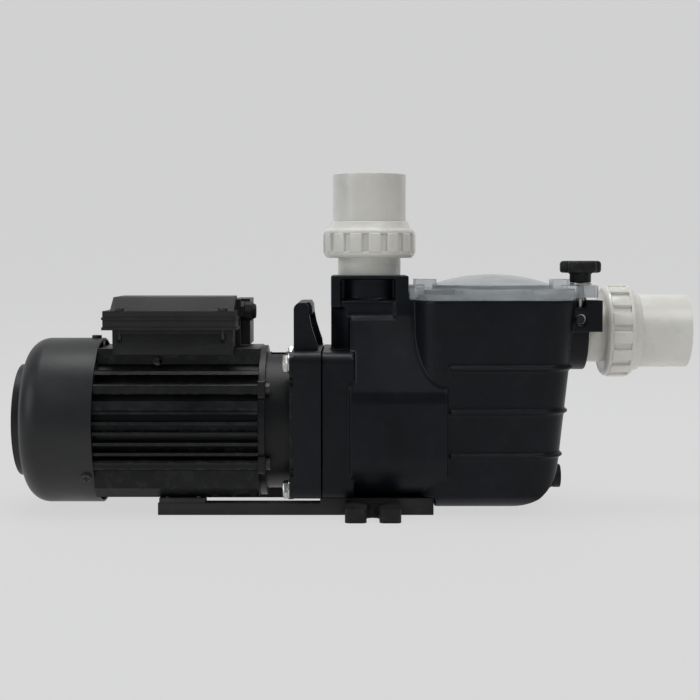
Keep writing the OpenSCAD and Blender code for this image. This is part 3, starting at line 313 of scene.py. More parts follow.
metalSettings = {
    "zinc_steel": dict(dark=(0.42, 0.42, 0.40, 1), light=(0.74, 0.74, 0.70, 1), stain=(0.30, 0.24, 0.17, 1),
                       rough=(0.24, 0.42),
                       grainStretch=(1.0, 1.0, 6.0), grainScale=420.0, grain=0.12),
    "machined_steel": dict(dark=(0.40, 0.40, 0.41, 1), light=(0.66, 0.66, 0.67, 1), stain=(0.22, 0.19, 0.16, 1),
                           rough=(0.16, 0.32),
                           grainStretch=(9.0, 1.0, 1.0), grainScale=500.0, grain=0.10),
    "core_steel": dict(dark=(0.16, 0.16, 0.17, 1), light=(0.32, 0.32, 0.34, 1), stain=(0.12, 0.08, 0.05, 1),
                       rough=(0.40, 0.60),
                       grainStretch=(30.0, 1.0, 1.0), grainScale=90.0, grain=0.30),
    "copper_winding": dict(dark=(0.42, 0.15, 0.06, 1), light=(0.72, 0.33, 0.16, 1), stain=(0.16, 0.07, 0.03, 1),
                           rough=(0.22, 0.40),
                           grainStretch=(1.0, 6.0, 6.0), grainScale=180.0, grain=0.45),
    "capacitor_case": dict(dark=(0.56, 0.56, 0.57, 1), light=(0.80, 0.80, 0.81, 1), stain=(0.40, 0.39, 0.37, 1),
                           rough=(0.26, 0.40),
                           grainStretch=(1.0, 7.0, 7.0), grainScale=260.0, grain=0.10),
}


def bareMetal(name, dark, light, stain, rough, grainStretch, grainScale, grain):
    material, tree, nodes, links = newMaterial(name)
    output = nodes.new("ShaderNodeOutputMaterial"); output.label = "finished metal"; output.location = (820, 0)
    shader = nodes.new("ShaderNodeBsdfPrincipled"); shader.label = "bare metal"; shader.location = (540, 0)
    shader.inputs["Metallic"].default_value = 1.0
    coords = nodes.new("ShaderNodeTexCoord"); coords.label = "place on the piece"; coords.location = (-1120, 0)
    stretch = nodes.new("ShaderNodeMapping"); stretch.label = "direction of the tool marks"
    stretch.location = (-900, -420)
    stretch.inputs["Scale"].default_value = grainStretch
    colourFrame = nodes.new("NodeFrame"); colourFrame.label = "plating and stains"
    tone = nodes.new("ShaderNodeTexNoise"); tone.label = "plating tone"; tone.location = (-660, 240)
    tone.parent = colourFrame
    tone.inputs["Scale"].default_value = 150.0
    tone.inputs["Detail"].default_value = 5.0
    toneRange = nodes.new("ShaderNodeValToRGB"); toneRange.label = "tone range"
    toneRange.location = (-420, 240); toneRange.parent = colourFrame
    toneRange.color_ramp.elements[0].position = 0.28
    toneRange.color_ramp.elements[0].color = dark
    toneRange.color_ramp.elements[1].position = 0.70
    toneRange.color_ramp.elements[1].color = light
    tarnish = nodes.new("ShaderNodeTexNoise"); tarnish.label = "tarnish spots"; tarnish.location = (-660, -40)
    tarnish.parent = colourFrame
    tarnish.inputs["Scale"].default_value = 95.0
    tarnish.inputs["Detail"].default_value = 9.0
    tarnish.inputs["Roughness"].default_value = 0.75
    tarnishRange = nodes.new("ShaderNodeMapRange"); tarnishRange.label = "few spots"
    tarnishRange.location = (-420, -40); tarnishRange.parent = colourFrame
    tarnishRange.inputs["From Min"].default_value = 0.58
    tarnishRange.inputs["From Max"].default_value = 0.80
    tarnishRange.inputs["To Max"].default_value = 0.7
    stained = nodes.new("ShaderNodeMix"); stained.label = "spots over plating"; stained.location = (-120, 160)
    stained.parent = colourFrame
    stained.data_type = "RGBA"
    stained.inputs["B"].default_value = stain
    grainFrame = nodes.new("NodeFrame"); grainFrame.label = "tool marks"
    marks = nodes.new("ShaderNodeTexNoise"); marks.label = "fine marks"; marks.location = (-660, -420)
    marks.parent = grainFrame
    marks.inputs["Scale"].default_value = grainScale
    marks.inputs["Detail"].default_value = 4.0
    marksBump = nodes.new("ShaderNodeBump"); marksBump.label = "mark height"; marksBump.location = (-120, -420)
    marksBump.parent = grainFrame
    marksBump.inputs["Strength"].default_value = grain
    marksBump.inputs["Distance"].default_value = 0.0003
    shine = nodes.new("ShaderNodeMapRange"); shine.label = "shine range"; shine.location = (-420, -240)
    shine.parent = grainFrame
    shine.inputs["From Min"].default_value = 0.3
    shine.inputs["From Max"].default_value = 0.7
    shine.inputs["To Min"].default_value = rough[0]
    shine.inputs["To Max"].default_value = rough[1]
    links.new(coords.outputs["Object"], tone.inputs["Vector"])
    links.new(coords.outputs["Object"], tarnish.inputs["Vector"])
    links.new(coords.outputs["Object"], stretch.inputs["Vector"])
    links.new(stretch.outputs["Vector"], marks.inputs["Vector"])
    links.new(tone.outputs["Fac"], toneRange.inputs["Fac"])
    links.new(tarnish.outputs["Fac"], tarnishRange.inputs["Value"])
    links.new(toneRange.outputs["Color"], stained.inputs["A"])
    links.new(tarnishRange.outputs["Result"], stained.inputs["Factor"])
    links.new(stained.outputs["Result"], shader.inputs["Base Color"])
    links.new(marks.outputs["Fac"], shine.inputs["Value"])
    links.new(shine.outputs["Result"], shader.inputs["Roughness"])
    links.new(marks.outputs["Fac"], marksBump.inputs["Height"])
    links.new(marksBump.outputs["Normal"], shader.inputs["Normal"])
    links.new(shader.outputs["BSDF"], output.inputs["Surface"])
    return material


# the grime colour is used twice: for real dirt patches, and as painted shade in the creases and hollows.
# dirtAndShadeAmount sets how much of both shows
paleSettings = {
    "white_pvc": dict(dark=(0.66, 0.635, 0.575, 1), light=(0.80, 0.785, 0.735, 1), dirtAndShadeColour=(0.30, 0.26, 0.19, 1),
                      dirtAndShadeAmount=0.14,
                      rough=(0.20, 0.32), depth=0.06, flow=0.16),
    "basket_plastic": dict(dark=(0.55, 0.55, 0.52, 1), light=(0.72, 0.72, 0.69, 1), dirtAndShadeColour=(0.26, 0.27, 0.20, 1),
                           dirtAndShadeAmount=0.22,
                           rough=(0.34, 0.5), depth=0.08, flow=0.14),
    "terminal_plastic": dict(dark=(0.50, 0.44, 0.32, 1), light=(0.66, 0.60, 0.46, 1),
                             dirtAndShadeColour=(0.22, 0.18, 0.12, 1), dirtAndShadeAmount=0.12,
                             rough=(0.36, 0.5), depth=0.03, flow=0.1),
    "ceramic": dict(dark=(0.62, 0.60, 0.55, 1), light=(0.74, 0.72, 0.68, 1), dirtAndShadeColour=(0.34, 0.32, 0.28, 1),
                    dirtAndShadeAmount=0.08,
                    rough=(0.10, 0.2), depth=0.02, flow=0.04),
}


def palePlastic(name, dark, light, dirtAndShadeColour, dirtAndShadeAmount, rough, depth, flow):
    material, tree, nodes, links = newMaterial(name)
    output = nodes.new("ShaderNodeOutputMaterial"); output.label = "finished plastic"
    output.location = (860, 0)
    shader = nodes.new("ShaderNodeBsdfPrincipled"); shader.label = "pale plastic"; shader.location = (580, 0)
    shader.inputs["Specular IOR Level"].default_value = 0.5
    shader.inputs["Subsurface Weight"].default_value = depth
    shader.inputs["Subsurface Radius"].default_value = (1.0, 0.8, 0.6)
    shader.inputs["Subsurface Scale"].default_value = 0.002
    coords = nodes.new("ShaderNodeTexCoord"); coords.label = "place on the piece"; coords.location = (-1120, 0)
    colourFrame = nodes.new("NodeFrame"); colourFrame.label = "tint, grime and painted shade"
    tint = nodes.new("ShaderNodeTexNoise"); tint.label = "slight yellowing"; tint.location = (-860, 260)
    tint.parent = colourFrame
    tint.inputs["Scale"].default_value = 16.0
    tint.inputs["Detail"].default_value = 4.0
    tintRange = nodes.new("ShaderNodeValToRGB"); tintRange.label = "tint range"
    tintRange.location = (-620, 260); tintRange.parent = colourFrame
    tintRange.color_ramp.elements[0].position = 0.30
    tintRange.color_ramp.elements[0].color = dark
    tintRange.color_ramp.elements[1].position = 0.62
    tintRange.color_ramp.elements[1].color = light
    dirt = nodes.new("ShaderNodeTexNoise"); dirt.label = "handling dirt"; dirt.location = (-860, -20)
    dirt.parent = colourFrame
    dirt.inputs["Scale"].default_value = 60.0
    dirt.inputs["Detail"].default_value = 9.0
    dirt.inputs["Roughness"].default_value = 0.72
    dirtRange = nodes.new("ShaderNodeMapRange"); dirtRange.label = "dirt patches"
    dirtRange.location = (-620, -20); dirtRange.parent = colourFrame
    dirtRange.inputs["From Min"].default_value = 0.5
    dirtRange.inputs["From Max"].default_value = 0.82
    # painted shade: creases and hollows, found by their pointiness, are darkened with the grime colour where
    # shade would fall. This is added to the real dirt patches
    geometry = nodes.new("ShaderNodeNewGeometry"); geometry.label = "hollows"
    geometry.location = (-1120, -280); geometry.parent = colourFrame
    paintedCreaseShade = nodes.new("ShaderNodeMapRange"); paintedCreaseShade.label = "painted shade in creases"; paintedCreaseShade.location = (-860, -280)
    paintedCreaseShade.parent = colourFrame
    paintedCreaseShade.inputs["From Min"].default_value = 0.49
    paintedCreaseShade.inputs["From Max"].default_value = 0.40
    dirtAndShadeSum = nodes.new("ShaderNodeMath"); dirtAndShadeSum.label = "patches and corners"
    dirtAndShadeSum.location = (-400, -140); dirtAndShadeSum.parent = colourFrame
    dirtAndShadeSum.operation = "ADD"; dirtAndShadeSum.use_clamp = True
    dirtAndShadeLevel = nodes.new("ShaderNodeMath"); dirtAndShadeLevel.label = "how much dirt and painted shade"
    dirtAndShadeLevel.location = (-200, -140); dirtAndShadeLevel.parent = colourFrame
    dirtAndShadeLevel.operation = "MULTIPLY"
    dirtAndShadeLevel.inputs[1].default_value = dirtAndShadeAmount
    # real dirt patches and painted shade in the creases, laid over the tint
    dirtAndShadeMix = nodes.new("ShaderNodeMix"); dirtAndShadeMix.label = "dirt and painted shade over tint"; dirtAndShadeMix.location = (40, 180)
    dirtAndShadeMix.parent = colourFrame
    dirtAndShadeMix.data_type = "RGBA"
    dirtAndShadeMix.inputs["B"].default_value = dirtAndShadeColour
    surfaceFrame = nodes.new("NodeFrame"); surfaceFrame.label = "moulded surface"
    smear = nodes.new("ShaderNodeTexNoise"); smear.label = "flow of the moulding"
    smear.location = (-860, -560); smear.parent = surfaceFrame
    smear.inputs["Scale"].default_value = 34.0
    smear.inputs["Detail"].default_value = 3.0
    fine = nodes.new("ShaderNodeTexNoise"); fine.label = "fine scratches"; fine.location = (-860, -800)
    fine.parent = surfaceFrame
    fine.inputs["Scale"].default_value = 700.0
    fine.inputs["Detail"].default_value = 4.0
    shine = nodes.new("ShaderNodeMapRange"); shine.label = "shine range"; shine.location = (-620, -560)
    shine.parent = surfaceFrame
    shine.inputs["From Min"].default_value = 0.32
    shine.inputs["From Max"].default_value = 0.68
    shine.inputs["To Min"].default_value = rough[0]
    shine.inputs["To Max"].default_value = rough[1]
    flowBump = nodes.new("ShaderNodeBump"); flowBump.label = "flow height"; flowBump.location = (-400, -560)
    flowBump.parent = surfaceFrame
    flowBump.inputs["Strength"].default_value = flow
    flowBump.inputs["Distance"].default_value = 0.0008
    fineBump = nodes.new("ShaderNodeBump"); fineBump.label = "scratch height"; fineBump.location = (-160, -700)
    fineBump.parent = surfaceFrame
    fineBump.inputs["Strength"].default_value = 0.05
    fineBump.inputs["Distance"].default_value = 0.0002
    for noise in (tint, dirt, smear, fine):
        links.new(coords.outputs["Object"], noise.inputs["Vector"])
    links.new(tint.outputs["Fac"], tintRange.inputs["Fac"])
    links.new(dirt.outputs["Fac"], dirtRange.inputs["Value"])
    links.new(geometry.outputs["Pointiness"], paintedCreaseShade.inputs["Value"])
    links.new(dirtRange.outputs["Result"], dirtAndShadeSum.inputs[0])
    links.new(paintedCreaseShade.outputs["Result"], dirtAndShadeSum.inputs[1])
    links.new(dirtAndShadeSum.outputs["Value"], dirtAndShadeLevel.inputs[0])
    links.new(dirtAndShadeLevel.outputs["Value"], dirtAndShadeMix.inputs["Factor"])
    links.new(tintRange.outputs["Color"], dirtAndShadeMix.inputs["A"])
    links.new(dirtAndShadeMix.outputs["Result"], shader.inputs["Base Color"])
    links.new(smear.outputs["Fac"], shine.inputs["Value"])
    links.new(shine.outputs["Result"], shader.inputs["Roughness"])
    links.new(smear.outputs["Fac"], flowBump.inputs["Height"])
    links.new(fine.outputs["Fac"], fineBump.inputs["Height"])
    links.new(flowBump.outputs["Normal"], fineBump.inputs["Normal"])
    links.new(fineBump.outputs["Normal"], shader.inputs["Normal"])
    links.new(shader.outputs["BSDF"], output.inputs["Surface"])
    return material


clearSettings = dict(tintLow=(0.60, 0.635, 0.65, 1), tintHigh=(0.84, 0.865, 0.875, 1), rough=(0.06, 0.22),
                     through=0.80)


def clearPlastic(name, tintLow, tintHigh, rough, through):
    material, tree, nodes, links = newMaterial(name)
    output = nodes.new("ShaderNodeOutputMaterial"); output.label = "finished clear plastic"
    output.location = (700, 0)
    shader = nodes.new("ShaderNodeBsdfPrincipled"); shader.label = "clear plastic"; shader.location = (420, 0)
    shader.inputs["IOR"].default_value = 1.46
    shader.inputs["Transmission Weight"].default_value = through
    coords = nodes.new("ShaderNodeTexCoord"); coords.label = "place on the lid"; coords.location = (-900, 0)
    haze = nodes.new("ShaderNodeTexNoise"); haze.label = "haze from wear"; haze.location = (-640, 160)
    haze.inputs["Scale"].default_value = 30.0
    haze.inputs["Detail"].default_value = 7.0
    hazeColour = nodes.new("ShaderNodeValToRGB"); hazeColour.label = "tint of the haze"
    hazeColour.location = (-360, 240)
    hazeColour.color_ramp.elements[0].position = 0.3
    hazeColour.color_ramp.elements[0].color = tintLow
    hazeColour.color_ramp.elements[1].position = 0.7
    hazeColour.color_ramp.elements[1].color = tintHigh
    shine = nodes.new("ShaderNodeMapRange"); shine.label = "polish range"; shine.location = (-360, 0)
    shine.inputs["From Min"].default_value = 0.35
    shine.inputs["From Max"].default_value = 0.7
    shine.inputs["To Min"].default_value = rough[0]
    shine.inputs["To Max"].default_value = rough[1]
    ripple = nodes.new("ShaderNodeTexNoise"); ripple.label = "ripple of the moulding"
    ripple.location = (-640, -240)
    ripple.inputs["Scale"].default_value = 38.0
    ripple.inputs["Detail"].default_value = 3.0
    rippleBump = nodes.new("ShaderNodeBump"); rippleBump.label = "ripple height"
    rippleBump.location = (-360, -240)
    rippleBump.inputs["Strength"].default_value = 0.25
    rippleBump.inputs["Distance"].default_value = 0.001
    links.new(coords.outputs["Object"], haze.inputs["Vector"])
    links.new(coords.outputs["Object"], ripple.inputs["Vector"])
    links.new(haze.outputs["Fac"], hazeColour.inputs["Fac"])
    links.new(haze.outputs["Fac"], shine.inputs["Value"])
    links.new(hazeColour.outputs["Color"], shader.inputs["Base Color"])
    links.new(shine.outputs["Result"], shader.inputs["Roughness"])
    links.new(ripple.outputs["Fac"], rippleBump.inputs["Height"])
    links.new(rippleBump.outputs["Normal"], shader.inputs["Normal"])
    links.new(shader.outputs["BSDF"], output.inputs["Surface"])
    return material


materials = {"clear_plastic": clearPlastic("clearPlastic", **clearSettings)}
for key, settings in mouldedSettings.items():
    materials[key] = mouldedPlastic(key, **settings)
for key, settings in paintSettings.items():
    materials[key] = paintedMetal(key, **settings)
for key, settings in metalSettings.items():
    materials[key] = bareMetal(key, **settings)
for key, settings in paleSettings.items():
    materials[key] = palePlastic(key, **settings)
print("stage: materials made,", len(materials))

# ---- soft edges on the parts that keep their own shape

edgeSettings = dict(flatAngle=0.8, cornerAngle=32.0, width=0.00035)
edgeWidths = {"fan_cover": 0.0005, "motor_frame": 0.0005, "front_end_shield": 0.0008, "box_lid": 0.0008,
              "box_base": 0.0007,
              "mounting_flange": 0.0013, "lid": 0.0009, "base_frame": 0.0009, "suction_tail": 0.0006,
              "discharge_tail": 0.0006,
              "suction_adaptor": 0.0005, "discharge_adaptor": 0.0005, "drain_plug": 0.0006,
              "motor_pads": 0.0007,
              "gland_nut": 0.0005, "gland_body": 0.0003}


def softenEdges(node, width):
    weld = node.modifiers.new("joinCorners", "WELD")
    weld.merge_threshold = 0.000004
    flatten = node.modifiers.new("joinFlats", "DECIMATE")
    flatten.decimate_type = "DISSOLVE"
    flatten.angle_limit = math.radians(edgeSettings["flatAngle"])
    bevel = node.modifiers.new("softCorners", "BEVEL")
    bevel.limit_method = "ANGLE"
    bevel.angle_limit = math.radians(edgeSettings["cornerAngle"])
    bevel.width = width
    bevel.segments = 2
    bevel.harden_normals = False
    shade = node.modifiers.new("evenShading", "WEIGHTED_NORMAL")
    shade.keep_sharp = True
    shade.weight = 80


for key, node in frame["nodes"].items():
    node.data.materials.clear()
    node.data.materials.append(materials[slotOf[key]])
    softenEdges(node, edgeWidths.get(key, edgeSettings["width"]))
print("stage: corners softened")

# ---- ways of making pieces


def newPiece(name, mesh, slotName):
    piece = bpy.data.objects.new(name, mesh)
    scene.collection.objects.link(piece)
    if not mesh.materials:
        mesh.materials.append(materials[slotName])
    return piece


def meshFrom(name, b):
    bmesh.ops.recalc_face_normals(b, faces=b.faces)
    mesh = bpy.data.meshes.new(name)
    b.to_mesh(mesh)
    b.free()
    for face in mesh.polygons:
        face.use_smooth = True
    return mesh


def turned(b, profile, steps, closed):  # points of radius and height, turned about z
    rings = []
    for radius, height in profile:
        if radius == 0:
            rings.append([b.verts.new((0, 0, height))])
        else:
            rings.append([b.verts.new((radius * math.cos(i * math.tau / steps),
                                       radius * math.sin(i * math.tau / steps), height))
                          for i in range(steps)])
    pairs = list(zip(rings, rings[1:])) + ([(rings[-1], rings[0])] if closed else [])
    for low, high in pairs:
        for i in range(steps):
            j = (i + 1) % steps
            if len(low) == 1:
                b.faces.new((low[0], high[i], high[j]))
            elif len(high) == 1:
                b.faces.new((low[i], low[j], high[0]))
            else:
                b.faces.new((low[i], low[j], high[j], high[i]))


def roundedBlock(b, low, high, soften, segments):
    made = bmesh.ops.create_cube(b, size=1.0)["verts"]
    for vertex in made:
        vertex.co = Vector([low[i] if vertex.co[i] < 0 else high[i] for i in range(3)])
    edges = list({edge for vertex in made for edge in vertex.link_edges})
    bmesh.ops.bevel(b, geom=edges, offset=soften, segments=segments, profile=0.5, affect="EDGES")


def ringOfCopiesTree():  # copies of one piece turned about z, joined to the geometry that comes in
    tree = bpy.data.node_groups.new("ringOfCopies", "GeometryNodeTree")
    tree.interface.new_socket("Geometry", in_out="INPUT", socket_type="NodeSocketGeometry")
    tree.interface.new_socket("Copied piece", in_out="INPUT", socket_type="NodeSocketObject")
    tree.interface.new_socket("Copies", in_out="INPUT", socket_type="NodeSocketInt")
    tree.interface.new_socket("First turn", in_out="INPUT", socket_type="NodeSocketFloat")
    tree.interface.new_socket("Finish", in_out="INPUT", socket_type="NodeSocketMaterial")
    tree.interface.new_socket("Geometry", in_out="OUTPUT", socket_type="NodeSocketGeometry")
    nodes, links = tree.nodes, tree.links
    entry = nodes.new("NodeGroupInput"); entry.label = "sizes"; entry.location = (-800, 0)
    places = nodes.new("GeometryNodePoints"); places.label = "one place each"; places.location = (-520, 220)
    number = nodes.new("GeometryNodeInputIndex"); number.label = "number of the copy"
    number.location = (-800, -260)
    step = nodes.new("ShaderNodeMath"); step.label = "turn of one step"; step.location = (-620, -160)
    step.operation = "DIVIDE"
    step.inputs[0].default_value = math.tau
    spread = nodes.new("ShaderNodeMath"); spread.label = "turn of this copy"; spread.location = (-440, -220)
    spread.operation = "MULTIPLY"
    offset = nodes.new("ShaderNodeMath"); offset.label = "with the first turn"; offset.location = (-260, -220)
    offset.operation = "ADD"
    turn = nodes.new("ShaderNodeCombineXYZ"); turn.label = "about z"; turn.location = (-80, -220)
    source = nodes.new("GeometryNodeObjectInfo"); source.label = "piece to copy"; source.location = (-260, 20)
    instance = nodes.new("GeometryNodeInstanceOnPoints"); instance.label = "set out the copies"
    instance.location = (120, 120)
    join = nodes.new("GeometryNodeJoinGeometry"); join.label = "with the body"; join.location = (320, 60)
    real = nodes.new("GeometryNodeRealizeInstances"); real.label = "make real"; real.location = (500, 60)
    finish = nodes.new("GeometryNodeSetMaterial"); finish.label = "finish"; finish.location = (680, 60)
    leave = nodes.new("NodeGroupOutput"); leave.location = (860, 60)
    links.new(entry.outputs["Copies"], places.inputs["Count"])
    links.new(entry.outputs["Copies"], step.inputs[1])
    links.new(step.outputs["Value"], spread.inputs[0])
    links.new(number.outputs["Index"], spread.inputs[1])
    links.new(spread.outputs["Value"], offset.inputs[0])
    links.new(entry.outputs["First turn"], offset.inputs[1])
    links.new(offset.outputs["Value"], turn.inputs["Z"])
    links.new(entry.outputs["Copied piece"], source.inputs["Object"])
    links.new(places.outputs["Points"], instance.inputs["Points"])
    links.new(source.outputs["Geometry"], instance.inputs["Instance"])
    links.new(turn.outputs["Vector"], instance.inputs["Rotation"])
    links.new(entry.outputs["Geometry"], join.inputs["Geometry"])
    links.new(instance.outputs["Instances"], join.inputs["Geometry"])
    links.new(join.outputs["Geometry"], real.inputs["Geometry"])
    links.new(real.outputs["Geometry"], finish.inputs["Geometry"])
    links.new(entry.outputs["Finish"], finish.inputs["Material"])
    links.new(finish.outputs["Geometry"], leave.inputs["Geometry"])
    return tree


def copiesAtPointsTree():  # one copy at every vertex that comes in
    tree = bpy.data.node_groups.new("copiesAtPoints", "GeometryNodeTree")
    tree.interface.new_socket("Geometry", in_out="INPUT", socket_type="NodeSocketGeometry")
    tree.interface.new_socket("Copied piece", in_out="INPUT", socket_type="NodeSocketObject")
    tree.interface.new_socket("Largest turn", in_out="INPUT", socket_type="NodeSocketFloat")
    tree.interface.new_socket("Finish", in_out="INPUT", socket_type="NodeSocketMaterial")
    tree.interface.new_socket("Geometry", in_out="OUTPUT", socket_type="NodeSocketGeometry")
    nodes, links = tree.nodes, tree.links
    entry = nodes.new("NodeGroupInput"); entry.label = "sizes"; entry.location = (-700, 0)
    source = nodes.new("GeometryNodeObjectInfo"); source.label = "piece to copy"; source.location = (-460, -60)
    chance = nodes.new("FunctionNodeRandomValue"); chance.label = "how far each was tightened"
    chance.location = (-460, -300)
    chance.data_type = "FLOAT"
    chance.inputs["Seed"].default_value = 7
    turn = nodes.new("ShaderNodeCombineXYZ"); turn.label = "about the shaft"; turn.location = (-240, -260)
    instance = nodes.new("GeometryNodeInstanceOnPoints"); instance.label = "set out the copies"
    instance.location = (-20, 60)
    real = nodes.new("GeometryNodeRealizeInstances"); real.label = "make real"; real.location = (180, 60)
    finish = nodes.new("GeometryNodeSetMaterial"); finish.label = "finish"; finish.location = (360, 60)
    leave = nodes.new("NodeGroupOutput"); leave.location = (540, 60)
    links.new(entry.outputs["Largest turn"], chance.inputs["Max"])
    links.new(chance.outputs["Value"], turn.inputs["X"])
    links.new(entry.outputs["Geometry"], instance.inputs["Points"])
    links.new(entry.outputs["Copied piece"], source.inputs["Object"])
    links.new(source.outputs["Geometry"], instance.inputs["Instance"])
    links.new(turn.outputs["Vector"], instance.inputs["Rotation"])
    links.new(instance.outputs["Instances"], real.inputs["Geometry"])
    links.new(real.outputs["Geometry"], finish.inputs["Geometry"])
    links.new(entry.outputs["Finish"], finish.inputs["Material"])
    links.new(finish.outputs["Geometry"], leave.inputs["Geometry"])
    return tree


ringOfCopies = ringOfCopiesTree()
copiesAtPoints = copiesAtPointsTree()


def grown(name, baseMesh, tree, inputs, slotName, place):  # runs a tree and keeps its result as a plain mesh
    holder = bpy.data.objects.new(name + "Holder", baseMesh)
    scene.collection.objects.link(holder)
    maker = holder.modifiers.new("copies", "NODES")
    maker.node_group = tree
    for item in tree.interface.items_tree:
        if item.in_out == "INPUT" and item.name in inputs:
            maker[item.identifier] = inputs[item.name]
    depsgraph = bpy.context.evaluated_depsgraph_get()
    mesh = bpy.data.meshes.new_from_object(holder.evaluated_get(depsgraph))
    mesh.name = name
    mesh.transform(place)
    for face in mesh.polygons:
        face.use_smooth = True
    bpy.data.objects.remove(holder)
    bpy.data.objects.remove(inputs["Copied piece"])
    return newPiece(name, mesh, slotName)


def sourcePiece(name, mesh):  # the piece that a tree copies
    piece = bpy.data.objects.new(name, mesh)
    scene.collection.objects.link(piece)
    return piece


def keepCorners(piece, angle):  # crisp corners on a smooth mesh
    mesh = piece.data
    mesh.set_sharp_from_angle(angle=math.radians(angle))


def settle(piece, body, slotName, *nodes):
    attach(piece, body)
    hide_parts(*nodes)

# ---- union nuts: a turned body with raised grips round it

nutSettings = dict(outer=0.0380, rim=0.0374, waist=0.0355, bore=0.0330, neckBore=0.0303, boreTop=0.0365,
                   ring=0.0338, start=0.0143,
                   gripLow=0.0183, gripHigh=0.0347, end=0.0440, grips=15, gripHalf=0.0050, steps=180)


def unionNut(name, place, body, node):
    s = nutSettings
    b = bmesh.new()
    turned(b, [(s["bore"], s["start"] + 0.0004), (s["rim"] - 0.0030, s["start"]),
               (s["rim"] - 0.0022, s["start"] + 0.0003),
               (s["rim"] - 0.0004, s["start"] + 0.0022), (s["rim"], s["start"] + 0.0032),
               (s["rim"], s["start"] + 0.0046),
               (s["waist"], s["start"] + 0.0056), (s["waist"], s["gripHigh"] - 0.0012),
               (s["rim"], s["gripHigh"] - 0.0004),
               (s["rim"] + 0.0001, s["gripHigh"] + 0.0008), (s["rim"] - 0.0004, s["gripHigh"] + 0.0018),
               (s["rim"] - 0.0012, s["gripHigh"] + 0.0026), (s["ring"] + 0.0010, s["gripHigh"] + 0.0034),
               (s["ring"], s["gripHigh"] + 0.0040), (s["ring"] - 0.0016, s["end"] - 0.0008),
               (s["ring"] - 0.0020, s["end"] - 0.0002),
               (s["ring"] - 0.0026, s["end"]), (s["neckBore"] + 0.0004, s["end"]),
               (s["neckBore"], s["end"] - 0.0004),
               (s["neckBore"], s["boreTop"]), (s["bore"], s["boreTop"] - 0.0006)], s["steps"], True)
    bodyMesh = meshFrom(name + "Body", b)
    b = bmesh.new()
    roundedBlock(b, (s["waist"] - 0.002, -s["gripHalf"], s["gripLow"]),
                 (s["outer"] - 0.00005, s["gripHalf"], s["gripHigh"] - 0.0002), 0.0011, 3)
    grip = sourcePiece(name + "Grip", meshFrom(name + "Grip", b))
    piece = grown(name, bodyMesh, ringOfCopies, {"Copied piece": grip, "Copies": s["grips"],
                                                 "First turn": math.pi / s["grips"],
                                                 "Finish": materials["white_pvc"]}, "white_pvc", place)
    keepCorners(piece, 50)
    settle(piece, body, "white_pvc", node)
    return piece


def portPlace(node):  # from a union drawn upwards at the origin to where the CAD has it
    low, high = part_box(node)
    centre = (low + high) / 2
    if node.startswith("suction"):
        return Matrix.Translation((low.x - nutSettings["start"], centre.y,
                                   centre.z)) @ Matrix.Rotation(math.pi / 2, 4, "Y")
    return Matrix.Translation((centre.x, centre.y, low.z - nutSettings["start"]))


unionNut("suctionUnionNut", portPlace("suction_nut"), "suction_nut", "suction_nut")
unionNut("dischargeUnionNut", portPlace("discharge_nut"), "discharge_nut", "discharge_nut")
print("stage: union nuts made")

# ---- housing bolts: hexagon head, washer and a threaded end, set out at the four corners

boltSettings = dict(head=0.0075, headHeight=0.0041, washer=0.0080, washerHeight=0.0013, shank=0.0040,
                    length=0.0388, pitch=0.00125)


def hexHead(b, radius, low, high):
    sides, rings = 6, []
    for height, shrink in ((low, 0.97), (low + 0.0004, 1.0), (high - 0.0009, 1.0)):
        rings.append([b.verts.new((radius * shrink * math.cos(i * math.tau / sides),
                                   radius * shrink * math.sin(i * math.tau / sides), height))
                      for i in range(sides)])
    for one, other in zip(rings, rings[1:]):
        for i in range(sides):
            b.faces.new((one[i], one[(i + 1) % sides], other[(i + 1) % sides], other[i]))
    flat = radius * math.cos(math.pi / sides)
    crown = [b.verts.new((flat * 0.96 * math.cos(i * math.tau / 24), flat * 0.96 * math.sin(i * math.tau / 24),
                          high)) for i in range(24)]
    corner = rings[-1]
    for i in range(sides):
        b.faces.new((corner[i], crown[(i * 4 + 2) % 24], crown[(i * 4 + 1) % 24], crown[i * 4]))
        b.faces.new((corner[i], corner[(i + 1) % sides], crown[(i * 4 + 4) % 24], crown[(i * 4 + 3) % 24],
                     crown[(i * 4 + 2) % 24]))
    b.faces.new(crown)
    b.faces.new(list(reversed(rings[0])))


def housingBolts():
    s = boltSettings
    b = bmesh.new()
    hexHead(b, s["head"], s["washerHeight"], s["washerHeight"] + s["headHeight"])
    turned(b, [(0, 0), (s["washer"] - 0.0002, 0), (s["washer"], 0.0003),
               (s["washer"], s["washerHeight"] - 0.0003),
               (s["washer"] - 0.0003, s["washerHeight"]), (0, s["washerHeight"])], 48, False)
    profile = [(0, 0.0001), (s["shank"], 0.0), (s["shank"], -0.010)]
    height = -0.010
    while height > -s["length"] + 0.002:
        profile += [(s["shank"] - 0.0005, height - s["pitch"] * 0.35),
                    (s["shank"] - 0.0001, height - s["pitch"] * 0.85)]
        height -= s["pitch"]
    profile += [(s["shank"] - 0.0008, -s["length"]), (0, -s["length"])]
    turned(b, profile, 32, False)
    mesh = meshFrom("housingBolt", b)
    mesh.transform(Matrix.Rotation(-math.pi / 2, 4, "Y"))
    bolt = sourcePiece("housingBolt", mesh)
    low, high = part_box("housing_bolts")
    inset = s["washer"]
    seat = low.x + s["headHeight"] + s["washerHeight"] + 0.0002
    b = bmesh.new()
    for y in (low.y + inset, high.y - inset):
        for z in (low.z + inset, high.z - inset):
            b.verts.new((seat, y, z))
    places = bpy.data.meshes.new("boltPlaces")
    b.to_mesh(places)
    b.free()
    piece = grown("housingBoltSet", places, copiesAtPoints,
                  {"Copied piece": bolt, "Largest turn": 1.0, "Finish": materials["zinc_steel"]},
                  "zinc_steel", Matrix.Identity(4))
    keepCorners(piece, 32)
    settle(piece, "pump", "zinc_steel", "housing_bolts")


housingBolts()
print("stage: housing bolts made")

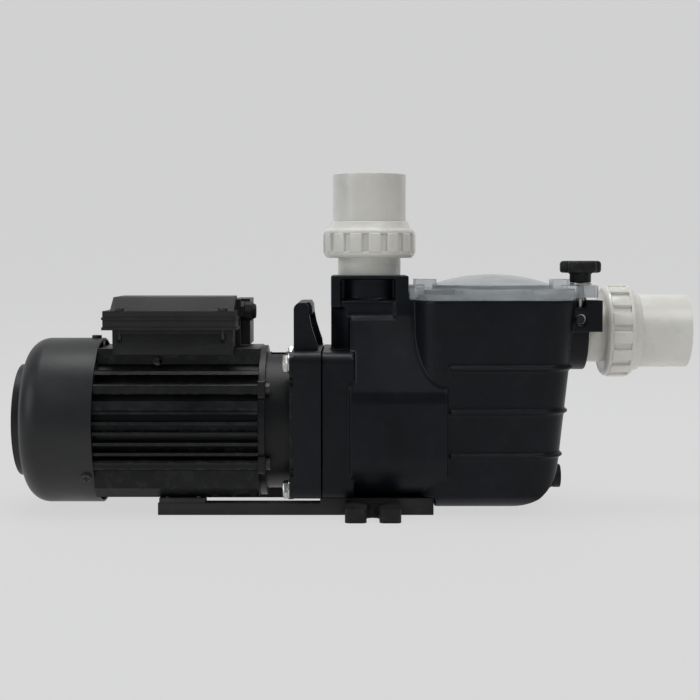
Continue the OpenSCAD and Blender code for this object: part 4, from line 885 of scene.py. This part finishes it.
# ---- strainer basket: upright ribs between hoops, a rim and a pierced floor

basketSettings = dict(topRadius=0.0518, floorRadius=0.0419, wall=0.0021, ribs=60,
                      hoops=(0.058, 0.076, 0.094, 0.112, 0.130, 0.148),
                      ribHalf=0.0009, rimTop=0.1694, rimRadius=0.0559, floor=0.0450,
                      floorRings=(0.008, 0.018, 0.028), lugX=0.049, lugHalf=0.0019, lugDepth=0.0039,
                      lugLow=0.1652, lugHigh=0.1744)


def strainerBasket():
    s = basketSettings
    low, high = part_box("strainer_basket")
    centre = Vector(((low.x + high.x) / 2, (low.y + high.y) / 2, 0))
    b = bmesh.new()
    rise = s["rimTop"] - s["floor"]

    def radiusAt(z):
        return s["floorRadius"] + (s["topRadius"] - s["floorRadius"]) * (z - s["floor"]) / rise

    turned(b, [(s["topRadius"] - s["wall"], 0.156), (s["topRadius"] - s["wall"] + 0.0003, s["rimTop"] - 0.0004),
               (s["rimRadius"] - 0.0005, s["rimTop"]),
               (s["rimRadius"], s["rimTop"] - 0.0006), (s["rimRadius"], s["rimTop"] - 0.0018),
               (s["topRadius"] - 0.0002, s["rimTop"] - 0.0020),
               (s["topRadius"] - 0.0009, 0.156)], 120, True)
    for z in s["hoops"]:
        r = radiusAt(z)
        turned(b, [(r - s["wall"], z - 0.0010), (r - 0.0002, z - 0.0010), (r, z), (r - 0.0002, z + 0.0010),
                   (r - s["wall"], z + 0.0010)], 120, True)
    turned(b, [(s["floorRadius"] - 0.0060, s["floor"]), (s["floorRadius"] - 0.0004, s["floor"]),
               (s["floorRadius"], s["floor"] + 0.0008),
               (s["floorRadius"], s["floor"] + 0.0060), (s["floorRadius"] - s["wall"], s["floor"] + 0.0060),
               (s["floorRadius"] - s["wall"], s["floor"] + 0.0024),
               (s["floorRadius"] - 0.0060, s["floor"] + 0.0024)], 120, True)
    for r in s["floorRings"]:
        turned(b, [(r, s["floor"]), (r + 0.003, s["floor"]), (r + 0.003, s["floor"] + 0.0022),
                   (r, s["floor"] + 0.0022)], 96, True)
    for side in (-1, 1):  # lugs that hold the handle
        roundedBlock(b, (side * s["lugX"] - s["lugHalf"], -s["lugDepth"], s["lugLow"]),
                     (side * s["lugX"] + s["lugHalf"], s["lugDepth"], s["lugHigh"]), 0.0008, 2)
    body = meshFrom("basketBody", b)
    b = bmesh.new()
    ends = [(radiusAt(s["floor"] + 0.004), s["floor"] + 0.002), (radiusAt(0.160), 0.160)]
    corners = []
    for r, z in ends:
        corners.append([b.verts.new((r + dr, dy, z)) for dr,
                        dy in ((-s["wall"] + 0.0002, -s["ribHalf"]), (-0.0002, -s["ribHalf"]),
                                                                    (-0.0002, s["ribHalf"]), (-s["wall"] + 0.0002, s["ribHalf"]))])
    for i in range(4):
        j = (i + 1) % 4
        b.faces.new((corners[0][i], corners[0][j], corners[1][j], corners[1][i]))
    b.faces.new(corners[0])
    b.faces.new(corners[1])
    roundedBlock(b, (0.0, -0.0010, s["floor"] + 0.0002), (s["floorRadius"] - 0.002, 0.0010,
                                                          s["floor"] + 0.0021), 0.0004, 1)
    rib = sourcePiece("basketRib", meshFrom("basketRib", b))
    piece = grown("strainerBasketLattice", body, ringOfCopies,
                  {"Copied piece": rib, "Copies": s["ribs"], "First turn": 0.0,
                                                               "Finish": materials["basket_plastic"]},
                                                               "basket_plastic", Matrix.Translation(centre))
    keepCorners(piece, 40)
    settle(piece, "basket", "basket_plastic", "strainer_basket")


strainerBasket()
print("stage: basket made")

# ---- cooling fan: curved blades on a hub and a back plate

fanSettings = dict(bore=0.00755, hub=0.0119, plate=0.0399, tip=0.0526, blades=8, blade=0.0022)


def coolingFan():
    s = fanSettings
    low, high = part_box("cooling_fan")
    depth = high.x - low.x
    b = bmesh.new()
    bore = s["bore"]
    turned(b, [(bore, 0.0003), (bore + 0.0004, 0), (s["hub"] - 0.0006, 0), (s["hub"], 0.0006),
               (s["hub"] + 0.0003, 0.0205), (s["plate"] - 0.0004, 0.0222),
               (s["plate"], 0.0230), (s["plate"], 0.0244), (s["plate"] - 0.0006, 0.0249),
               (s["hub"] + 0.001, 0.0252), (s["hub"], depth - 0.0006),
               (s["hub"] - 0.0006, depth), (bore + 0.0004, depth), (bore, depth - 0.0004)], 96, True)
    body = meshFrom("fanBody", b)
    b = bmesh.new()
    rows, count = [], 10
    for i in range(count + 1):
        along = s["hub"] - 0.001 + (s["tip"] - s["hub"]) * i / count
        bend = 0.0032 * math.sin(math.pi * i / count)
        rows.append([b.verts.new((along, bend + side, z)) for side,
                     z in ((-s["blade"] / 2, 0.0004 + 0.004 * (i / count) ** 3),
                           (s["blade"] / 2, 0.0004 + 0.004 * (i / count) ** 3),
                                                                        (s["blade"] / 2, 0.0238), (-s["blade"] / 2, 0.0238))])
    for one, other in zip(rows, rows[1:]):
        for i in range(4):
            j = (i + 1) % 4
            b.faces.new((one[i], one[j], other[j], other[i]))
    b.faces.new(rows[0])
    b.faces.new(rows[-1])
    blade = sourcePiece("fanBlade", meshFrom("fanBlade", b))
    place = Matrix.Translation((low.x, 0, (low.z + high.z) / 2)) @ Matrix.Rotation(math.pi / 2, 4, "Y")
    piece = grown("coolingFanWheel", body, ringOfCopies, {"Copied piece": blade, "Copies": s["blades"],
                                                          "First turn": 0.0,
                                                         "Finish": materials["inner_plastic"]}, "inner_plastic",
                                                         place)
    keepCorners(piece, 40)
    settle(piece, "rotor", "inner_plastic", "cooling_fan")


coolingFan()
print("stage: fan made")

# ---- lid knob: a lobed head on a round hub

knobSettings = dict(hub=0.0085, head=0.0164, dip=0.0029, lobes=6, headBase=0.0079, top=0.0174, bore=0.0034,
                    steps=144)


def lidKnob():
    s = knobSettings
    low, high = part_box("lid_knob")
    profile = [(s["bore"], 0.0144, 0), (s["bore"], 0.0004, 0), (s["bore"] + 0.0004, 0, 0),
               (s["hub"] - 0.0006, 0, 0), (s["hub"], 0.0006, 0),
               (s["hub"], s["headBase"] - 0.0012, 0), (s["hub"] + 0.0012, s["headBase"] - 0.0002, 0.2),
               (s["head"] - 0.0018, s["headBase"], 0.9),
               (s["head"] - 0.0005, s["headBase"] + 0.0007, 1), (s["head"], s["headBase"] + 0.0022, 1),
               (s["head"], s["top"] - 0.0024, 1),
               (s["head"] - 0.0007, s["top"] - 0.0008, 1), (s["head"] - 0.0021, s["top"] - 0.0001, 0.9),
               (0.0106, s["top"], 0.3), (0.0082, s["top"] - 0.0007, 0),
               (0.0060, s["top"] - 0.0008, 0), (0, s["top"] - 0.0008, 0)]
    b = bmesh.new()
    rings = []
    for radius, height, lobed in profile:
        if radius == 0:
            rings.append([b.verts.new((0, 0, height))])
            continue
        ring = []
        for i in range(s["steps"]):
            angle = i * math.tau / s["steps"]
            wave = (0.5 - 0.5 * math.cos(s["lobes"] * angle)) ** 1.8
            r = radius - s["dip"] * lobed * wave
            ring.append(b.verts.new((r * math.cos(angle), r * math.sin(angle), height)))
        rings.append(ring)
    for one, other in zip(rings, rings[1:]):
        for i in range(s["steps"]):
            j = (i + 1) % s["steps"]
            b.faces.new((one[i], one[j], other[0]) if len(other) == 1 else (one[i], one[j], other[j], other[i]))
    cap = b.verts.new((0, 0, profile[0][1]))
    for i in range(s["steps"]):
        b.faces.new((rings[0][i], cap, rings[0][(i + 1) % s["steps"]]))
    mesh = meshFrom("lidKnobGrip", b)
    mesh.transform(Matrix.Translation(((low.x + high.x) / 2, (low.y + high.y) / 2, low.z)))
    piece = newPiece("lidKnobGrip", mesh, "knob_plastic")
    keepCorners(piece, 45)
    settle(piece, "lid_knob", "knob_plastic", "lid_knob")


lidKnob()

# ---- swing bolt: a threaded rod with a round eye

swingSettings = dict(rod=0.0030, pitch=0.0010, eye=0.0065, eyeHole=0.00303, eyeHalf=0.0034)


def swingBolt():
    s = swingSettings
    low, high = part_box("swing_bolt")
    centre = Vector(((low.x + high.x) / 2, (low.y + high.y) / 2, low.z + s["eye"]))
    b = bmesh.new()
    turned(b, [(s["eyeHole"], -s["eyeHalf"] + 0.0003), (s["eyeHole"] + 0.0005, -s["eyeHalf"]),
               (s["eye"] - 0.0012, -s["eyeHalf"]),
               (s["eye"] - 0.0003, -s["eyeHalf"] + 0.0007), (s["eye"], -s["eyeHalf"] + 0.0016),
               (s["eye"], s["eyeHalf"] - 0.0016), (s["eye"] - 0.0003, s["eyeHalf"] - 0.0007),
               (s["eye"] - 0.0012, s["eyeHalf"]), (s["eyeHole"] + 0.0005, s["eyeHalf"]),
               (s["eyeHole"], s["eyeHalf"] - 0.0003)], 64, True)
    bmesh.ops.rotate(b, verts=b.verts, cent=(0, 0, 0), matrix=Matrix.Rotation(math.pi / 2, 3, "X"))
    top = high.z - centre.z
    profile = [(0, 0.0040), (s["rod"], 0.0044), (s["rod"], 0.016)]
    height = 0.016
    while height < top - 0.0022:
        profile += [(s["rod"] - 0.0004, height + s["pitch"] * 0.4),
                    (s["rod"] - 0.00005, height + s["pitch"] * 0.9)]
        height += s["pitch"]
    profile += [(s["rod"] - 0.0007, top), (0, top)]
    turned(b, profile, 32, False)
    mesh = meshFrom("swingBoltRod", b)
    mesh.transform(Matrix.Translation(centre))
    piece = newPiece("swingBoltRod", mesh, "zinc_steel")
    keepCorners(piece, 40)
    settle(piece, "pump", "zinc_steel", "swing_bolt")


swingBolt()
print("stage: knob and swing bolt made")

# ---- housing and pot: one moulding with soft corners

mouldingSettings = dict(voxel=0.0010, quickVoxel=0.0020, smooth=4, keep=0.20)


def softMoulding():
    s = mouldingSettings
    b = bmesh.new()
    for node in ("volute", "strainer_pot"):
        b.from_mesh(frame["nodes"][node].data)
    bmesh.ops.remove_doubles(b, verts=b.verts, dist=0.000002)
    mesh = bpy.data.meshes.new("mouldingSource")
    b.to_mesh(mesh)
    b.free()
    holder = bpy.data.objects.new("mouldingHolder", mesh)
    scene.collection.objects.link(holder)
    voxels = holder.modifiers.new("voxels", "REMESH")
    voxels.mode = "VOXEL"
    voxels.voxel_size = s["voxel"]
    smooth = holder.modifiers.new("softCorners", "SMOOTH")
    smooth.factor = 0.5
    smooth.iterations = s["smooth"]
    thin = holder.modifiers.new("fewerFaces", "DECIMATE")
    thin.ratio = s["keep"]
    depsgraph = bpy.context.evaluated_depsgraph_get()
    made = bpy.data.meshes.new_from_object(holder.evaluated_get(depsgraph))
    made.name = "softMoulding"
    bpy.data.objects.remove(holder)
    for face in made.polygons:
        face.use_smooth = True
    made.materials.clear()
    piece = newPiece("housingMoulding", made, "black_moulding")
    print("stage: moulding has", len(made.polygons), "faces")
    settle(piece, "pump", "black_moulding", "volute", "strainer_pot")


softMoulding()

# ---- stage, light and camera

stageSettings = dict(floorColour=(0.075, 0.075, 0.075, 1), floorGlow=0.61, worldColour=(0.60, 0.70, 0.82, 1),
                     worldStrength=0.19,
                     keySize=1.6, keyPower=17.0, fillPower=12.0, topPower=22.0)


def areaLight(name, place, aim, size, power, colour):
    light = bpy.data.lights.new(name, "AREA")
    light.shape, light.size, light.energy, light.color = "DISK", size, power, colour
    holder = bpy.data.objects.new(name, light)
    holder.location = place
    holder.rotation_mode = "QUATERNION"
    holder.rotation_quaternion = (Vector(aim) - Vector(place)).to_track_quat("-Z", "Y")
    scene.collection.objects.link(holder)
    return holder


def makeFloor():
    mesh = bpy.data.meshes.new("paleFloor")
    b = bmesh.new()
    half, front, back, rise, bend = 9.0, -6.0, 3.2, 7.0, 1.6
    rows = [(front, 0.0)]
    for i in range(13):
        turn = i / 12 * math.pi / 2
        rows.append((back + bend * math.sin(turn), bend - bend * math.cos(turn)))
    rows.append((back + bend, rise))
    loops = [[b.verts.new((x, y, z)) for x in (-half, half)] for y, z in rows]
    for low, high in zip(loops, loops[1:]):
        b.faces.new((low[0], low[1], high[1], high[0])).smooth = True
    b.to_mesh(mesh); b.free()
    floor = bpy.data.objects.new("paleFloor", mesh)
    scene.collection.objects.link(floor)
    material, tree, nodes, links = newMaterial("palePaper")
    output = nodes.new("ShaderNodeOutputMaterial"); output.location = (400, 0)
    shader = nodes.new("ShaderNodeBsdfPrincipled"); shader.label = "matt paper"; shader.location = (100, 0)
    shader.inputs["Base Color"].default_value = stageSettings["floorColour"]
    shader.inputs["Roughness"].default_value = 0.9
    shader.inputs["Specular IOR Level"].default_value = 0.1
    shader.inputs["Emission Color"].default_value = (1.0, 1.0, 1.0, 1)
    shader.inputs["Emission Strength"].default_value = stageSettings["floorGlow"]
    links.new(shader.outputs["BSDF"], output.inputs["Surface"])
    mesh.materials.append(material)


makeFloor()
world = bpy.data.worlds.new("softRoom")
scene.world = world
world.use_nodes = True
world.node_tree.nodes["Background"].inputs["Color"].default_value = stageSettings["worldColour"]
world.node_tree.nodes["Background"].inputs["Strength"].default_value = stageSettings["worldStrength"]
areaLight("keyLight", (1.1, -1.3, 2.1), (0, 0, 0.1), stageSettings["keySize"], stageSettings["keyPower"],
          (1.0, 0.98, 0.95))
areaLight("fillLight", (-1.9, -1.0, 1.0), (0, 0, 0.1), 1.4, stageSettings["fillPower"], (0.96, 0.98, 1.0))
areaLight("topLight", (-0.1, 0.15, 2.0), (0, 0, 0.1), 1.2, stageSettings["topPower"], (1.0, 1.0, 1.0))

cameraSettings = dict(place=(-0.003, -1.2019, 0.2057), tiltDown=3.63, lens=74.57, sensor=36.0)
cameraData = bpy.data.cameras.new("viewCamera")
cameraData.lens = cameraSettings["lens"]
cameraData.sensor_width = cameraSettings["sensor"]
camera = bpy.data.objects.new("viewCamera", cameraData)
camera.location = cameraSettings["place"]
camera.rotation_euler = (math.radians(90 - cameraSettings["tiltDown"]), 0, 0)
scene.collection.objects.link(camera)
scene.camera = camera

print("stage: scene ready")
